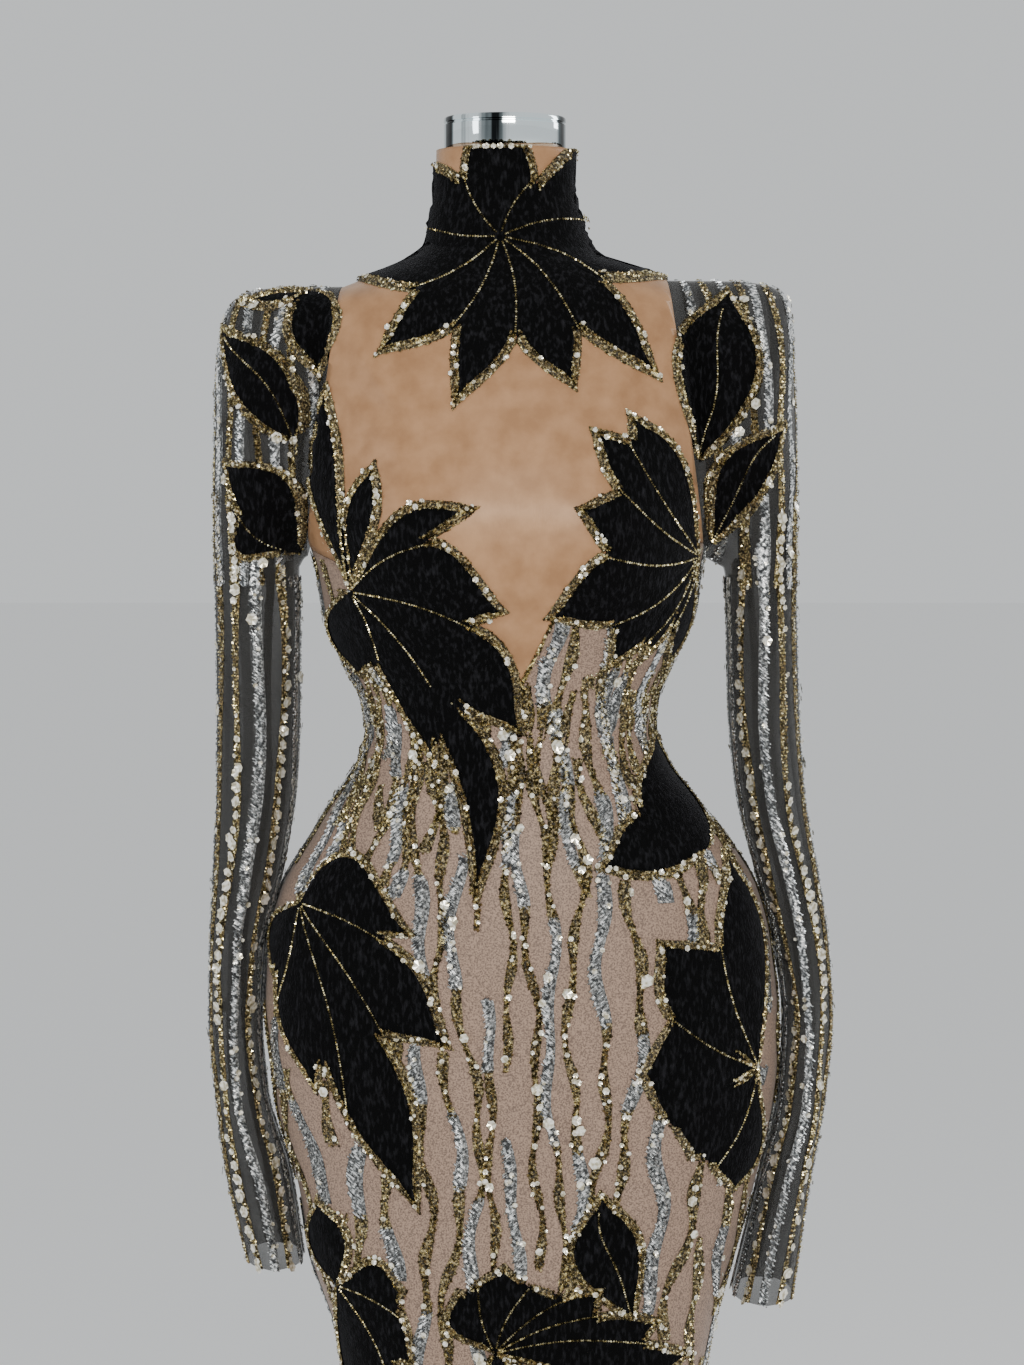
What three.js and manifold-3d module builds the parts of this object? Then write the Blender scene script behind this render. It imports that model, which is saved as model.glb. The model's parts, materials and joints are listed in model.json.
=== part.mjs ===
// Evening gown with long sleeves and velvet leaf sprays on a limbless dress form.
// Millimetres, +Z up, the front faces -Y, the origin is on the floor under the hem.
import * as THREE from 'three';
import { mergeVertices } from 'three/addons/utils/BufferGeometryUtils.js';
import Module from 'manifold-3d';

const wasm = await Module();
wasm.setup();

// Driving sizes
const WALL = 1.5; // cloth with its beads, as one wall
const SEAM = 0.3; // gap between sewn pieces
const FORM_GAP = 0.95; // between the cloth and the form under it
const NAP = 1.6; // thickness of a velvet leaf with its padding
const COLUMNS = 36; // steps around the body
const SLEEVE_COLUMNS = 18;
const ROUNDNESS = 2.3; // power of the body's oval sections
const MERGE = 1e-4; // points nearer than this are one point
const HEM_Z = 10;
const COLLAR_SEAM_Z = 1403;
const COLLAR_TOP_Z = 1469;
const RIM_Z = 669; // lower rim of the form
const YOKE_BACK_Z = 1215;

// The body's sections: height, half width, depth to the front and back, middle, flute depth
const BODY = [
  { z: COLLAR_TOP_Z, half: 47.5, front: 44, back: 50, mid: 0, flute: 0 },
  { z: 1437, half: 48.5, front: 45, back: 52, mid: 0, flute: 0 },
  { z: 1418, half: 54, front: 49, back: 56, mid: 1, flute: 0 },
  { z: COLLAR_SEAM_Z, half: 57.5, front: 54, back: 60, mid: 2, flute: 0 },
  { z: 1394, half: 67, front: 60, back: 64, mid: 0, flute: 0 },
  { z: 1386, half: 90, front: 65, back: 68, mid: 6, flute: 0 },
  { z: 1378, half: 110, front: 71, back: 72, mid: 6, flute: 0 },
  { z: 1362, half: 142, front: 80, back: 78, mid: 1, flute: 0 },
  { z: 1330, half: 149, front: 93, back: 86, mid: 1, flute: 0 },
  { z: 1290, half: 150, front: 106, back: 92, mid: 1, flute: 0 },
  { z: 1250, half: 149, front: 117, back: 95, mid: 2, flute: 0 },
  { z: 1215, half: 144, front: 123, back: 97, mid: 2, flute: 0 },
  { z: 1184, half: 135, front: 122, back: 95, mid: 3, flute: 0 },
  { z: 1150, half: 129, front: 113, back: 90, mid: 3, flute: 0 },
  { z: 1115, half: 115, front: 101, back: 86, mid: 2, flute: 0 },
  { z: 1087, half: 102.5, front: 94, back: 84, mid: 3, flute: 0 },
  { z: 1070, half: 101, front: 92, back: 84, mid: 4, flute: 0 },
  { z: 1045, half: 107.5, front: 92, back: 87, mid: 5, flute: 0 },
  { z: 1017, half: 128, front: 96, back: 98, mid: 7, flute: 0 },
  { z: 990, half: 147, front: 101, back: 108, mid: 10, flute: 0 },
  { z: 958, half: 166, front: 105, back: 118, mid: 10, flute: 0 },
  { z: 920, half: 176, front: 106, back: 123, mid: 10, flute: 0 },
  { z: 864, half: 180.5, front: 104, back: 118, mid: 12, flute: 0 },
  { z: 808, half: 175.5, front: 101, back: 108, mid: 14, flute: 0 },
  { z: 752, half: 161.5, front: 98, back: 101, mid: 15, flute: 0 },
  { z: 695, half: 148, front: 97, back: 97, mid: 12, flute: 0 },
  { z: 640, half: 132, front: 95, back: 95, mid: 14, flute: 0 },
  { z: 560, half: 120, front: 92, back: 92, mid: 12, flute: 1 },
  { z: 480, half: 117, front: 93, back: 93, mid: 9, flute: 2 },
  { z: 400, half: 127, front: 103, back: 105, mid: 6, flute: 4 },
  { z: 300, half: 156, front: 134, back: 138, mid: 3, flute: 7 },
  { z: 200, half: 195, front: 174, back: 180, mid: 1, flute: 10 },
  { z: 100, half: 239, front: 216, back: 224, mid: 0, flute: 13 },
  { z: HEM_Z, half: 274, front: 250, back: 258, mid: -2.8, flute: 15 },
].reverse();
const BODY_FIELDS = ['half', 'front', 'back', 'mid', 'flute'];

// The fullest points of the bust, as soft mounds on the front
const BUST = { x: 68, z: 1198, wide: 46, tall: 58, height: 8 };
const BUST_FADE = 3; // how fast the mounds come in from the sides
const FLUTES = 9; // waves around the hem
const SWAY = { share: 0.35, waves: 4, start: 1 }; // makes the hem's waves uneven

// Left and right are the wearer's. Each row is a ring through an inner and an outer point.
const SLEEVES = {
  sleeve_right: {
    side: -1,
    rings: [
      { inX: -134.6, inZ: 1190, outX: -109.6, outZ: 1375, depth: 0, fold: 0 },
      { inX: -140, inZ: 1187, outX: -149, outZ: 1375.5, depth: 66, fold: 0 },
      { inX: -142, inZ: 1184, outX: -178, outZ: 1372, depth: 64, fold: 0 },
      { inX: -143, inZ: 1182, outX: -193, outZ: 1357, depth: 62, fold: 0 },
      { inX: -144, inZ: 1180, outX: -200, outZ: 1320, depth: 60, fold: 0 },
      { inX: -144, inZ: 1176, outX: -202, outZ: 1268, depth: 57, fold: 0 },
      { inX: -144, inZ: 1168, outX: -202.5, outZ: 1212, depth: 54, fold: 1 },
      { inX: -144, inZ: 1150, outX: -202, outZ: 1160, depth: 52, fold: 1.5 },
      { inX: -144.5, inZ: 1087, outX: -201, outZ: 1090, depth: 50, fold: 2 },
      { inX: -147, inZ: 1030, outX: -201.6, outZ: 1030, depth: 48, fold: 2 },
      { inX: -156, inZ: 972, outX: -204.5, outZ: 972, depth: 46, fold: 2.2 },
      { inX: -169.5, inZ: 915, outX: -207, outZ: 915, depth: 44, fold: 2.2 },
      { inX: -172.5, inZ: 862, outX: -208, outZ: 862, depth: 43, fold: 2.2 },
      { inX: -168, inZ: 808, outX: -204, outZ: 808, depth: 43, fold: 2.2 },
      { inX: -152, inZ: 752, outX: -196, outZ: 752, depth: 44, fold: 2.2 },
      { inX: -143, inZ: 692, outX: -182, outZ: 694, depth: 45, fold: 2.2 },
    ],
  },
  sleeve_left: {
    side: 1,
    rings: [
      { inX: 134.6, inZ: 1190, outX: 109.2, outZ: 1379, depth: 0, fold: 0 },
      { inX: 141, inZ: 1187, outX: 152, outZ: 1379.5, depth: 66, fold: 0 },
      { inX: 146, inZ: 1184, outX: 183, outZ: 1376.5, depth: 64, fold: 0 },
      { inX: 150, inZ: 1182, outX: 197, outZ: 1363, depth: 62, fold: 0 },
      { inX: 153, inZ: 1180, outX: 201, outZ: 1320, depth: 60, fold: 0 },
      { inX: 154, inZ: 1176, outX: 202.5, outZ: 1268, depth: 56, fold: 0 },
      { inX: 155, inZ: 1168, outX: 203, outZ: 1212, depth: 53, fold: 1 },
      { inX: 156, inZ: 1150, outX: 203.5, outZ: 1160, depth: 51, fold: 1.5 },
      { inX: 157.5, inZ: 1087, outX: 205, outZ: 1090, depth: 50, fold: 2 },
      { inX: 164, inZ: 1020, outX: 210, outZ: 1020, depth: 48, fold: 2 },
      { inX: 178, inZ: 964, outX: 220, outZ: 964, depth: 46, fold: 2.2 },
      { inX: 190.5, inZ: 915, outX: 227, outZ: 915, depth: 44, fold: 2.2 },
      { inX: 197, inZ: 862, outX: 230, outZ: 862, depth: 43, fold: 2.2 },
      { inX: 194, inZ: 808, outX: 226, outZ: 808, depth: 43, fold: 2.2 },
      { inX: 181, inZ: 752, outX: 216, outZ: 752, depth: 44, fold: 2.2 },
      { inX: 161, inZ: 668, outX: 203.7, outZ: 668, depth: 45, fold: 2.2 },
    ],
  },
};
const SLEEVE_SWELL = 0.9; // makes a ring fuller than an ellipse
const SLEEVE_Y = 6; // the sleeves' middle lies this far behind the body's
const FOLD = { waves: 5, start: 1.2 }; // soft upright folds in the sleeves
const BODY_SIDE = 60; // a place across that lies well inside the armholes
const ARMHOLE = { topX: 112, topZ: 1376, lowX: 138, lowZ: 1186 };
const ROW_GAP = 4; // a table row nearer than this to a panel's edge is left out
const ARMHOLE_REACH = 30; // how far an armhole's cut runs past its ends

// Leaf sprays. A spray lies on the cloth where it is seen from the bearing `facing`, in degrees
// from the front towards +X. Its hub is given across and up in that view. A leaf's row holds its
// turn in degrees clockwise from up, its length, its widths to the left and right of the line
// from hub to tip, and the share of its length at which it is fullest.
const LEAF_FIELDS = ['turn', 'length', 'left', 'right', 'full'];
const SPRAYS = {
  spray_neck: {
    on: 'body', facing: 0, across: -3, up: 1406,
    leaves: [
      [-105, 104, 22, 24, 0.5], [-134, 116, 24, 14, 0.5], [-165, 121, 28, 13, 0.48],
      [154, 116, 22, 20, 0.55], [132, 146, 25, 12, 0.52], [103, 118, 25, 14, 0.5],
      [-4, 105, 23, 27, 0.38], [-40, 74, 38, 8, 0.42], [37, 86, 3, 40, 0.42],
    ],
  },
  spray_bust_right: {
    on: 'body', facing: -20, across: -68, up: 1167,
    leaves: [
      [-9, 142, 26, 8, 0.6], [14, 90, 14, 14, 0.6], [59, 110, 24, 2, 0.6],
      [97, 110, 43, 16, 0.55], [131, 148, 42, 12, 0.62], [156, 134, 24, 10, 0.5],
      [158, 231, 46, -14, 0.6], [-175, 60, 30, 34, 0.5],
    ],
  },
  spray_bust_left: {
    on: 'body', facing: 20, across: 104, up: 1190,
    leaves: [
      [-31, 114, 20, 18, 0.6], [-45, 122, 20, 16, 0.65], [-72, 107, 25, 25, 0.6],
      [-109, 124, 20, 30, 0.6], [-137, 103, 8, 26, 0.65], [-148, 86, 8, 10, 0.6],
      [-168, 80, 14, 10, 0.6],
    ],
  },
  spray_shoulder_right: {
    on: 'sleeve_right', facing: -15, across: -125, up: 1370,
    leaves: [
      [166, 62, 27, 14, 0.38], [-98, 50, 8, 5, 0.4],
    ],
  },
  spray_arm_right: {
    on: 'sleeve_right', facing: -25, across: -106, up: 1269,
    leaves: [
      [-39, 104, 14, 28, 0.42],
    ],
  },
  spray_elbow_right: {
    on: 'sleeve_right', facing: -25, across: -120, up: 1192,
    leaves: [
      [-31, 74, 8, 36, 0.5], [-77, 34, 10, 26, 0.6],
    ],
  },
  spray_shoulder_left: {
    on: 'sleeve_left', facing: 12, across: 120, up: 1254,
    leaves: [
      [12, 122, 36, 26, 0.55],
    ],
  },
  spray_arm_left: {
    on: 'sleeve_left', facing: 20, across: 125, up: 1198,
    leaves: [
      [26, 93, 32, 6, 0.5],
    ],
  },
  spray_waist: {
    on: 'body', facing: 40, across: 65, up: 988,
    leaves: [
      [-96, 82, 10, 34, 0.5], [-3, 83, 44, 30, 0.42],
    ],
  },
  spray_hip_left: {
    on: 'body', facing: 55, across: 55, up: 838,
    leaves: [
      [-2, 150, 30, 22, 0.6], [-38, 118, 28, 32, 0.6], [-88, 82, 36, 42, 0.7],
      [-140, 76, 28, 40, 0.7], [-173, 88, 26, 30, 0.65],
    ],
  },
  spray_hip_right: {
    on: 'body', facing: -40, across: -70, up: 952,
    leaves: [
      [101, 90, 43, 12, 0.35], [131, 143, 32, 26, 0.55], [158, 224, 32, 20, 0.58],
      [173, 131, 24, 30, 0.5], [-152, 58, 14, 26, 0.55],
    ],
  },
  spray_thigh_right: {
    on: 'body', facing: -25, across: -81, up: 687,
    leaves: [
      [-14, 62, 25, 22, 0.5], [88, 56, 22, 26, 0.6], [129, 78, 24, 28, 0.55],
      [168, 103, 30, 24, 0.55],
    ],
  },
  spray_thigh_middle: {
    on: 'body', facing: 5, across: -15, up: 649,
    leaves: [
      [-31, 50, 20, 20, 0.6], [6, 61, 22, 24, 0.6], [48, 60, 24, 20, 0.65],
      [59, 86, 10, 22, 0.65], [81, 117, 14, 23, 0.65], [94, 140, 12, 23, 0.65],
      [168, 95, 26, 24, 0.5],
    ],
  },
  spray_thigh_left: {
    on: 'body', facing: 25, across: 43, up: 669,
    leaves: [
      [-15, 94, 32, 18, 0.55],
    ],
  },
};
for (const spray of Object.values(SPRAYS)) {
  spray.leaves = spray.leaves.map((row) => {
    return Object.fromEntries(LEAF_FIELDS.map((field, i) => [field, row[i]]));
  });
}
const LEAF_STEPS = 4; // points along each edge of a leaf
const LEAF_ROOT = -0.04; // a leaf starts this share of its length behind the hub
const LEAF_POWER = { hub: 0.75, tip: 1.25 }; // blunt at the hub, pointed at the tip
const TIP_GROWTH = 3; // a grown leaf's tip moves out this much more than its edges
const HUB_RADIUS = 11;
const HUB_SIDES = 6;
const SPRAY_GAP = 0.6; // between the bars that cut two sprays that meet
const ARM_MARGIN = 2; // from a leaf on the body to the armhole seam
const SLEEVE_MARGIN = 7; // from a leaf on a sleeve to that seam
const ARMPIT = { x: 150, up: 20 }; // no leaf of a sleeve comes nearer to the body here
const BODY_NEAR = 15; // how far from the body's middle a leaf's cutting bar starts
const SLEEVE_NEAR = 50;

// The dress form and its stand
const LATHE_SIDES = 28;
const FORM_COLUMNS = 18;
const FORM_TOP_Z = COLLAR_TOP_Z + 0.5;
const FORM_LOW_RING_Z = 695; // a row of the body's table, so that the form follows the cloth
const RIM_INSET = 6;
const FORM_ARM_GAP = 3; // from the form's flat armholes to the sleeves' seams
const CAP = { radius: 42.4, top: 1492, edge: 3, bevel: 0.9 };
const PLATE = { radius: 70, thick: 8 };
const POLE_RADIUS = 12.5;
const BASE = { radius: 170, rim: 6, slope: 14, boss: 20, bossFoot: 8, bossTop: 46 };

// The pull tab of the concealed zip, on its slider near the collar's top
const ZIP = {
  z: 1452, y: 52, wide: 7, tall: 10, thick: 2.2,
  post: 1, postTall: 3, gap: 3.2, pinOut: 4.6, pin: 0.7, pinCover: 1.2, overlap: 0.1,
};
const PULL = { eye: 2, bore: 1.15, eyeWide: 2.4, wide: 6, thick: 1.2, start: 2.8, length: 24 };
const ROD_SIDES = 16;

const COLOURS = {
  nude: { color: 0xc09a78, roughness: 0.6, metalness: 0 },
  net: { color: 0x6f5d4f, roughness: 0.8, metalness: 0 },
  sleeve: { color: 0x34322f, roughness: 0.8, metalness: 0 },
  velvet: { color: 0x111214, roughness: 0.95, metalness: 0 },
  form: { color: 0xb8957a, roughness: 0.7, metalness: 0 },
  chrome: { color: 0xd0d0d0, roughness: 0.12, metalness: 1 },
  metal: { color: 0x9a8a5a, roughness: 0.35, metalness: 1 },
};

const gown = new THREE.Group();
const radians = (degrees) => (degrees * Math.PI) / 180;

// Steps used to find which way a surface faces
const TURN_STEP = 0.002;
const HEIGHT_STEP = 1.5;
const AROUND_STEP = 0.01;

// Monotone cubic through a table's rows, so that widths never overshoot between rows
function smoothField(rows, field, z) {
  const last = rows.length - 1;
  if (z <= rows[0].z) return rows[0][field];
  if (z >= rows[last].z) return rows[last][field];
  const i = rows.findIndex((row) => row.z > z) - 1;
  const slope = (j) => {
    if (j < 0 || j >= last) return 0;
    return (rows[j + 1][field] - rows[j][field]) / (rows[j + 1].z - rows[j].z);
  };
  const tangent = (j) => {
    const before = slope(j - 1);
    const after = slope(j);
    return before * after <= 0 ? 0 : (2 * before * after) / (before + after);
  };
  const span = rows[i + 1].z - rows[i].z;
  const t = (z - rows[i].z) / span;
  const start = rows[i][field] * (1 + 2 * t) * (1 - t) ** 2;
  const end = rows[i + 1][field] * t * t * (3 - 2 * t);
  const bend = span * (tangent(i) * t * (1 - t) ** 2 + tangent(i + 1) * t * t * (t - 1));
  return start + end + bend;
}

function sectionAt(z) {
  return Object.fromEntries(BODY_FIELDS.map((field) => [field, smoothField(BODY, field, z)]));
}

function bustMound(x, z) {
  const tall = Math.exp(-(((z - BUST.z) / BUST.tall) ** 2));
  const left = Math.exp(-(((x + BUST.x) / BUST.wide) ** 2));
  const right = Math.exp(-(((x - BUST.x) / BUST.wide) ** 2));
  return BUST.height * tall * (left + right);
}

// A point on the body's outer face: turn runs from the front over +X, 0 to 1 in all
function bodyPoint(turn, z) {
  const s = sectionAt(z);
  const angle = turn * 2 * Math.PI;
  const across = Math.sin(angle);
  const ahead = Math.cos(angle);
  const depth = ahead > 0 ? s.front : s.back;
  const sum = (Math.abs(across) / s.half) ** ROUNDNESS + (Math.abs(ahead) / depth) ** ROUNDNESS;
  const sway = SWAY.share * Math.cos(SWAY.waves * angle + SWAY.start);
  const wave = Math.cos(FLUTES * angle) + sway;
  const radius = sum ** (-1 / ROUNDNESS) + s.flute * wave;
  const x = radius * across;
  const mound = ahead > 0 ? bustMound(x, z) * Math.min(1, ahead * BUST_FADE) : 0;
  return new THREE.Vector3(x + s.mid, -radius * ahead - mound, z);
}

function offsetFrom(point, u, v, stepU, stepV, distance) {
  const alongU = point(u + stepU, v).sub(point(u - stepU, v));
  const alongV = point(u, v + stepV).sub(point(u, v - stepV));
  const normal = alongU.cross(alongV).normalize();
  return point(u, v).addScaledVector(normal, distance);
}

const bodyAt = (turn, z, out) => offsetFrom(bodyPoint, turn, z, TURN_STEP, HEIGHT_STEP, out);

function meshGeometry(points, faces) {
  const numbers = points.flatMap((p) => [p.x, p.y, p.z]);
  const geometry = new THREE.BufferGeometry();
  geometry.setAttribute('position', new THREE.Float32BufferAttribute(numbers, 3));
  geometry.setIndex(faces);
  return geometry;
}

// A closed wall from a grid of outer points and the matching inner points
function wallGeometry(outer, inner, ring) {
  const rows = outer.length;
  const columns = outer[0].length;
  const points = [...outer.flat(), ...inner.flat()];
  const id = (side, r, c) => side * rows * columns + r * columns + (ring ? c % columns : c);
  const faces = [];
  const quad = (a, b, c, d) => faces.push(a, b, c, a, c, d);
  const cells = ring ? columns : columns - 1;
  for (let r = 0; r < rows - 1; r += 1) {
    for (let c = 0; c < cells; c += 1) {
      quad(id(0, r, c), id(0, r, c + 1), id(0, r + 1, c + 1), id(0, r + 1, c));
      quad(id(1, r, c), id(1, r + 1, c), id(1, r + 1, c + 1), id(1, r, c + 1));
    }
  }
  for (let c = 0; c < cells; c += 1) {
    quad(id(0, 0, c), id(1, 0, c), id(1, 0, c + 1), id(0, 0, c + 1));
    const top = rows - 1;
    quad(id(0, top, c), id(0, top, c + 1), id(1, top, c + 1), id(1, top, c));
  }
  if (!ring) {
    const end = columns - 1;
    for (let r = 0; r < rows - 1; r += 1) {
      quad(id(0, r, 0), id(0, r + 1, 0), id(1, r + 1, 0), id(1, r, 0));
      quad(id(0, r, end), id(1, r, end), id(1, r + 1, end), id(0, r + 1, end));
    }
  }
  return meshGeometry(points, faces);
}

function toSolid(geometry) {
  const bare = geometry.clone();
  bare.deleteAttribute('normal');
  bare.deleteAttribute('uv');
  const merged = mergeVertices(bare, MERGE);
  return new wasm.Manifold(new wasm.Mesh({
    numProp: 3,
    vertProperties: Float32Array.from(merged.attributes.position.array),
    triVerts: Uint32Array.from(merged.index.array),
  }));
}

function toGeometry(solid) {
  const mesh = solid.getMesh();
  const places = new THREE.BufferAttribute(Float32Array.from(mesh.vertProperties), 3);
  const geometry = new THREE.BufferGeometry();
  geometry.setAttribute('position', places);
  geometry.setIndex(new THREE.BufferAttribute(Uint32Array.from(mesh.triVerts), 1));
  return geometry;
}

function place(name, geometry, look) {
  const flat = geometry.index ? geometry.toNonIndexed() : geometry;
  flat.computeVertexNormals();
  const material = new THREE.MeshStandardMaterial({ ...COLOURS[look], flatShading: true });
  const mesh = new THREE.Mesh(flat, material);
  mesh.name = name;
  gown.add(mesh);
  return mesh;
}

// Heights of the grid's rows between two heights, none of them close to either
function levels(low, high) {
  const inside = BODY.map((row) => row.z).filter((z) => z > low + ROW_GAP && z < high - ROW_GAP);
  return [low, ...inside, high];
}

// The body's wall between two turns and two heights
function bodyWall(fromTurn, toTurn, low, high, inside, outside) {
  const steps = Math.round((toTurn - fromTurn) * COLUMNS);
  const whole = steps === COLUMNS;
  const grid = (out) => levels(low, high).map((z) => {
    const row = [];
    for (let i = 0; i <= steps - (whole ? 1 : 0); i += 1) {
      row.push(bodyAt(fromTurn + i / COLUMNS, z, out));
    }
    return row;
  });
  return toSolid(wallGeometry(grid(outside), grid(inside), whole));
}

// A closed bar of an outline's points, drawn across and up, pushed along the view's depth
function outlineBar(outline, facing, near, far) {
  const shape = new THREE.Shape(outline.map(([across, up]) => new THREE.Vector2(across, up)));
  const bar = new THREE.ExtrudeGeometry(shape, { depth: far - near, bevelEnabled: false, steps: 1 });
  bar.translate(0, 0, near);
  bar.applyMatrix4(new THREE.Matrix4().makeRotationX(Math.PI / 2));
  bar.applyMatrix4(new THREE.Matrix4().makeRotationZ(radians(facing)));
  return toSolid(bar);
}

// Bounds well outside the part, for the blocks that cut it
const BIG = 700;
const FLOOR = -10;
const SKY = 1600;

// An upright block between two places along each axis
function slab(x0, x1, y0, y1, z0, z1) {
  const box = new THREE.BoxGeometry(x1 - x0, y1 - y0, z1 - z0);
  box.translate((x0 + x1) / 2, (y0 + y1) / 2, (z0 + z1) / 2);
  return toSolid(box);
}

// All that lies on one side of the armhole's slanted plane, from it to `reach` across
function armholeSide(side, gap, reach = BIG) {
  const run = (ARMHOLE.lowX - ARMHOLE.topX) / (ARMHOLE.topZ - ARMHOLE.lowZ);
  const xAt = (z) => side * (ARMHOLE.topX + gap + run * (ARMHOLE.topZ - z));
  const high = COLLAR_TOP_Z + ARMHOLE_REACH;
  const low = ARMHOLE.lowZ - ARMHOLE_REACH;
  const outline = [[xAt(low), low], [side * reach, low], [side * reach, high], [xAt(high), high]];
  return outlineBar(outline, 0, -BIG, BIG);
}

// The V edge of the yoke as the front shows it
const V_EDGE = [
  [-300, 1196], [-140, 1196], [-69, 1169], [-26, 1157], [9, 1100],
  [37, 1157], [70, 1194], [100, 1202], [140, 1198], [300, 1198],
];

function aboveV(lift) {
  const edge = V_EDGE.map(([x, z]) => [x, z + lift]);
  return outlineBar([...edge, [edge[edge.length - 1][0], SKY], [edge[0][0], SKY]], 0, 0, BIG);
}

function buildBodyPanels() {
  let tube = bodyWall(0, 1, HEM_Z, COLLAR_SEAM_Z - SEAM, -WALL, 0);
  for (const side of [-1, 1]) tube = tube.subtract(armholeSide(side, -SEAM / 2));
  const half = SEAM / 2;
  const frontHalf = slab(-BIG, BIG, -BIG, -half, FLOOR, SKY);
  const backLeft = slab(half, BIG, half, BIG, FLOOR, SKY);
  const backRight = slab(-BIG, -half, half, BIG, FLOOR, SKY);
  const upper = slab(-BIG, BIG, -BIG, BIG, YOKE_BACK_Z + half, SKY);
  const lower = slab(-BIG, BIG, -BIG, BIG, FLOOR, YOKE_BACK_Z - half);
  const front = tube.intersect(frontHalf);
  // Both panels stand a whole seam back from the V, because its slant narrows the gap
  place('front', toGeometry(front.subtract(aboveV(-SEAM))), 'net');
  place('yoke_front', toGeometry(front.intersect(aboveV(SEAM))), 'nude');
  place('back_left', toGeometry(tube.intersect(backLeft).intersect(lower)), 'net');
  place('back_right', toGeometry(tube.intersect(backRight).intersect(lower)), 'net');
  place('yoke_back_left', toGeometry(tube.intersect(backLeft).intersect(upper)), 'nude');
  place('yoke_back_right', toGeometry(tube.intersect(backRight).intersect(upper)), 'nude');
}

function buildCollar() {
  const band = bodyWall(0, 1, COLLAR_SEAM_Z, COLLAR_TOP_Z, -WALL, 0);
  const opening = slab(-SEAM / 2, SEAM / 2, 0, BIG, FLOOR, SKY);
  place('collar', toGeometry(band.subtract(opening)), 'nude');
}

// How deep the body is at a place across and up, to the front or the back
function bodyDepth(x, z, ahead) {
  const s = sectionAt(z);
  const share = Math.min(1, Math.abs(x - s.mid) / s.half);
  const depth = (ahead ? s.front : s.back) * (1 - share ** ROUNDNESS) ** (1 / ROUNDNESS);
  return ahead ? -depth : depth;
}

// A point of a sleeve's ring: along runs through the rings, around starts at the inner point
function sleevePoint(rings, around, along) {
  const i = Math.min(rings.length - 2, Math.max(0, Math.floor(along)));
  const t = along - i;
  const mix = (field) => rings[i][field] * (1 - t) + rings[i + 1][field] * t;
  const angle = around * 2 * Math.PI;
  const share = (1 - Math.cos(angle)) / 2;
  const x = mix('inX') + (mix('outX') - mix('inX')) * share;
  const z = mix('inZ') + (mix('outZ') - mix('inZ')) * share;
  const swell = Math.sign(Math.sin(angle)) * Math.abs(Math.sin(angle)) ** SLEEVE_SWELL;
  const wave = Math.cos(FOLD.waves * angle + FOLD.start) * (1 - Math.abs(Math.cos(angle)));
  const plain = (mix('depth') + mix('fold') * wave) * swell + SLEEVE_Y;
  // The first ring takes the body's depth at the armhole, and the cloth runs on from there
  const seam = rings[0];
  const seamX = seam.inX + (seam.outX - seam.inX) * share;
  const seamZ = seam.inZ + (seam.outZ - seam.inZ) * share;
  const shareOfBody = Math.max(0, 1 - along);
  const edge = bodyDepth(seamX, seamZ, swell < 0);
  return new THREE.Vector3(x, plain * (1 - shareOfBody) + edge * shareOfBody, z);
}

// A place on one of a sleeve's rings, moved out along the mean of the walls that meet there
function sleeveAt(sleeve, around, ring, out) {
  const point = (u, v) => sleevePoint(sleeve.rings, u, v);
  const here = point(around, ring);
  const alongU = point(around + AROUND_STEP, ring).sub(point(around - AROUND_STEP, ring));
  const alongV = new THREE.Vector3();
  if (ring > 0) alongV.add(here.clone().sub(point(around, ring - 1)).normalize());
  if (ring < sleeve.rings.length - 1) alongV.add(point(around, ring + 1).sub(here).normalize());
  const normal = alongU.cross(alongV).normalize().multiplyScalar(sleeve.side);
  return here.addScaledVector(normal, out);
}

function sleeveWall(sleeve, inside, outside) {
  const grid = (out) => sleeve.rings.map((_, along) => {
    const row = [];
    for (let i = 0; i < SLEEVE_COLUMNS; i += 1) {
      row.push(sleeveAt(sleeve, i / SLEEVE_COLUMNS, along, out));
    }
    return row;
  });
  const outer = grid(outside);
  const inner = grid(inside);
  if (sleeve.side > 0) return toSolid(wallGeometry(outer, inner, true));
  const flip = (rows) => rows.map((row) => [...row].reverse());
  return toSolid(wallGeometry(flip(outer), flip(inner), true));
}

function buildSleeves() {
  for (const [name, sleeve] of Object.entries(SLEEVES)) {
    const inBody = armholeSide(sleeve.side, SEAM / 2, BODY_SIDE);
    place(name, toGeometry(sleeveWall(sleeve, -WALL, 0).subtract(inBody)), 'sleeve');
  }
}

// One leaf's outline in its view, from the hub to its tip and back, grown all round
function leafOutline(spray, leaf, grow) {
  const turn = radians(leaf.turn);
  const lean = Math.log(0.5) / Math.log(leaf.full);
  const spot = (share, side) => {
    const length = (leaf.length + TIP_GROWTH * grow) * share;
    const wave = Math.max(0, Math.sin(Math.PI * Math.max(0, share) ** lean));
    const belly = wave ** (LEAF_POWER.hub + (LEAF_POWER.tip - LEAF_POWER.hub) * Math.max(0, share));
    const half = side > 0 ? leaf.right : leaf.left;
    const sideways = side * (half * belly + grow * Math.sign(belly));
    const across = spray.across + length * Math.sin(turn) + sideways * Math.cos(turn);
    const up = spray.up + length * Math.cos(turn) - sideways * Math.sin(turn);
    return [across, up];
  };
  const edge = [spot(LEAF_ROOT, 0)];
  for (let i = 1; i < LEAF_STEPS; i += 1) edge.push(spot(i / LEAF_STEPS, 1));
  edge.push(spot(1, 0));
  for (let i = LEAF_STEPS - 1; i > 0; i -= 1) edge.push(spot(i / LEAF_STEPS, -1));
  return edge;
}

function hubOutline(spray, grow) {
  const radius = HUB_RADIUS + grow;
  return Array.from({ length: HUB_SIDES }, (_, i) => {
    const angle = (-2 * Math.PI * i) / HUB_SIDES;
    return [spray.across + radius * Math.cos(angle), spray.up + radius * Math.sin(angle)];
  });
}

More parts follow.
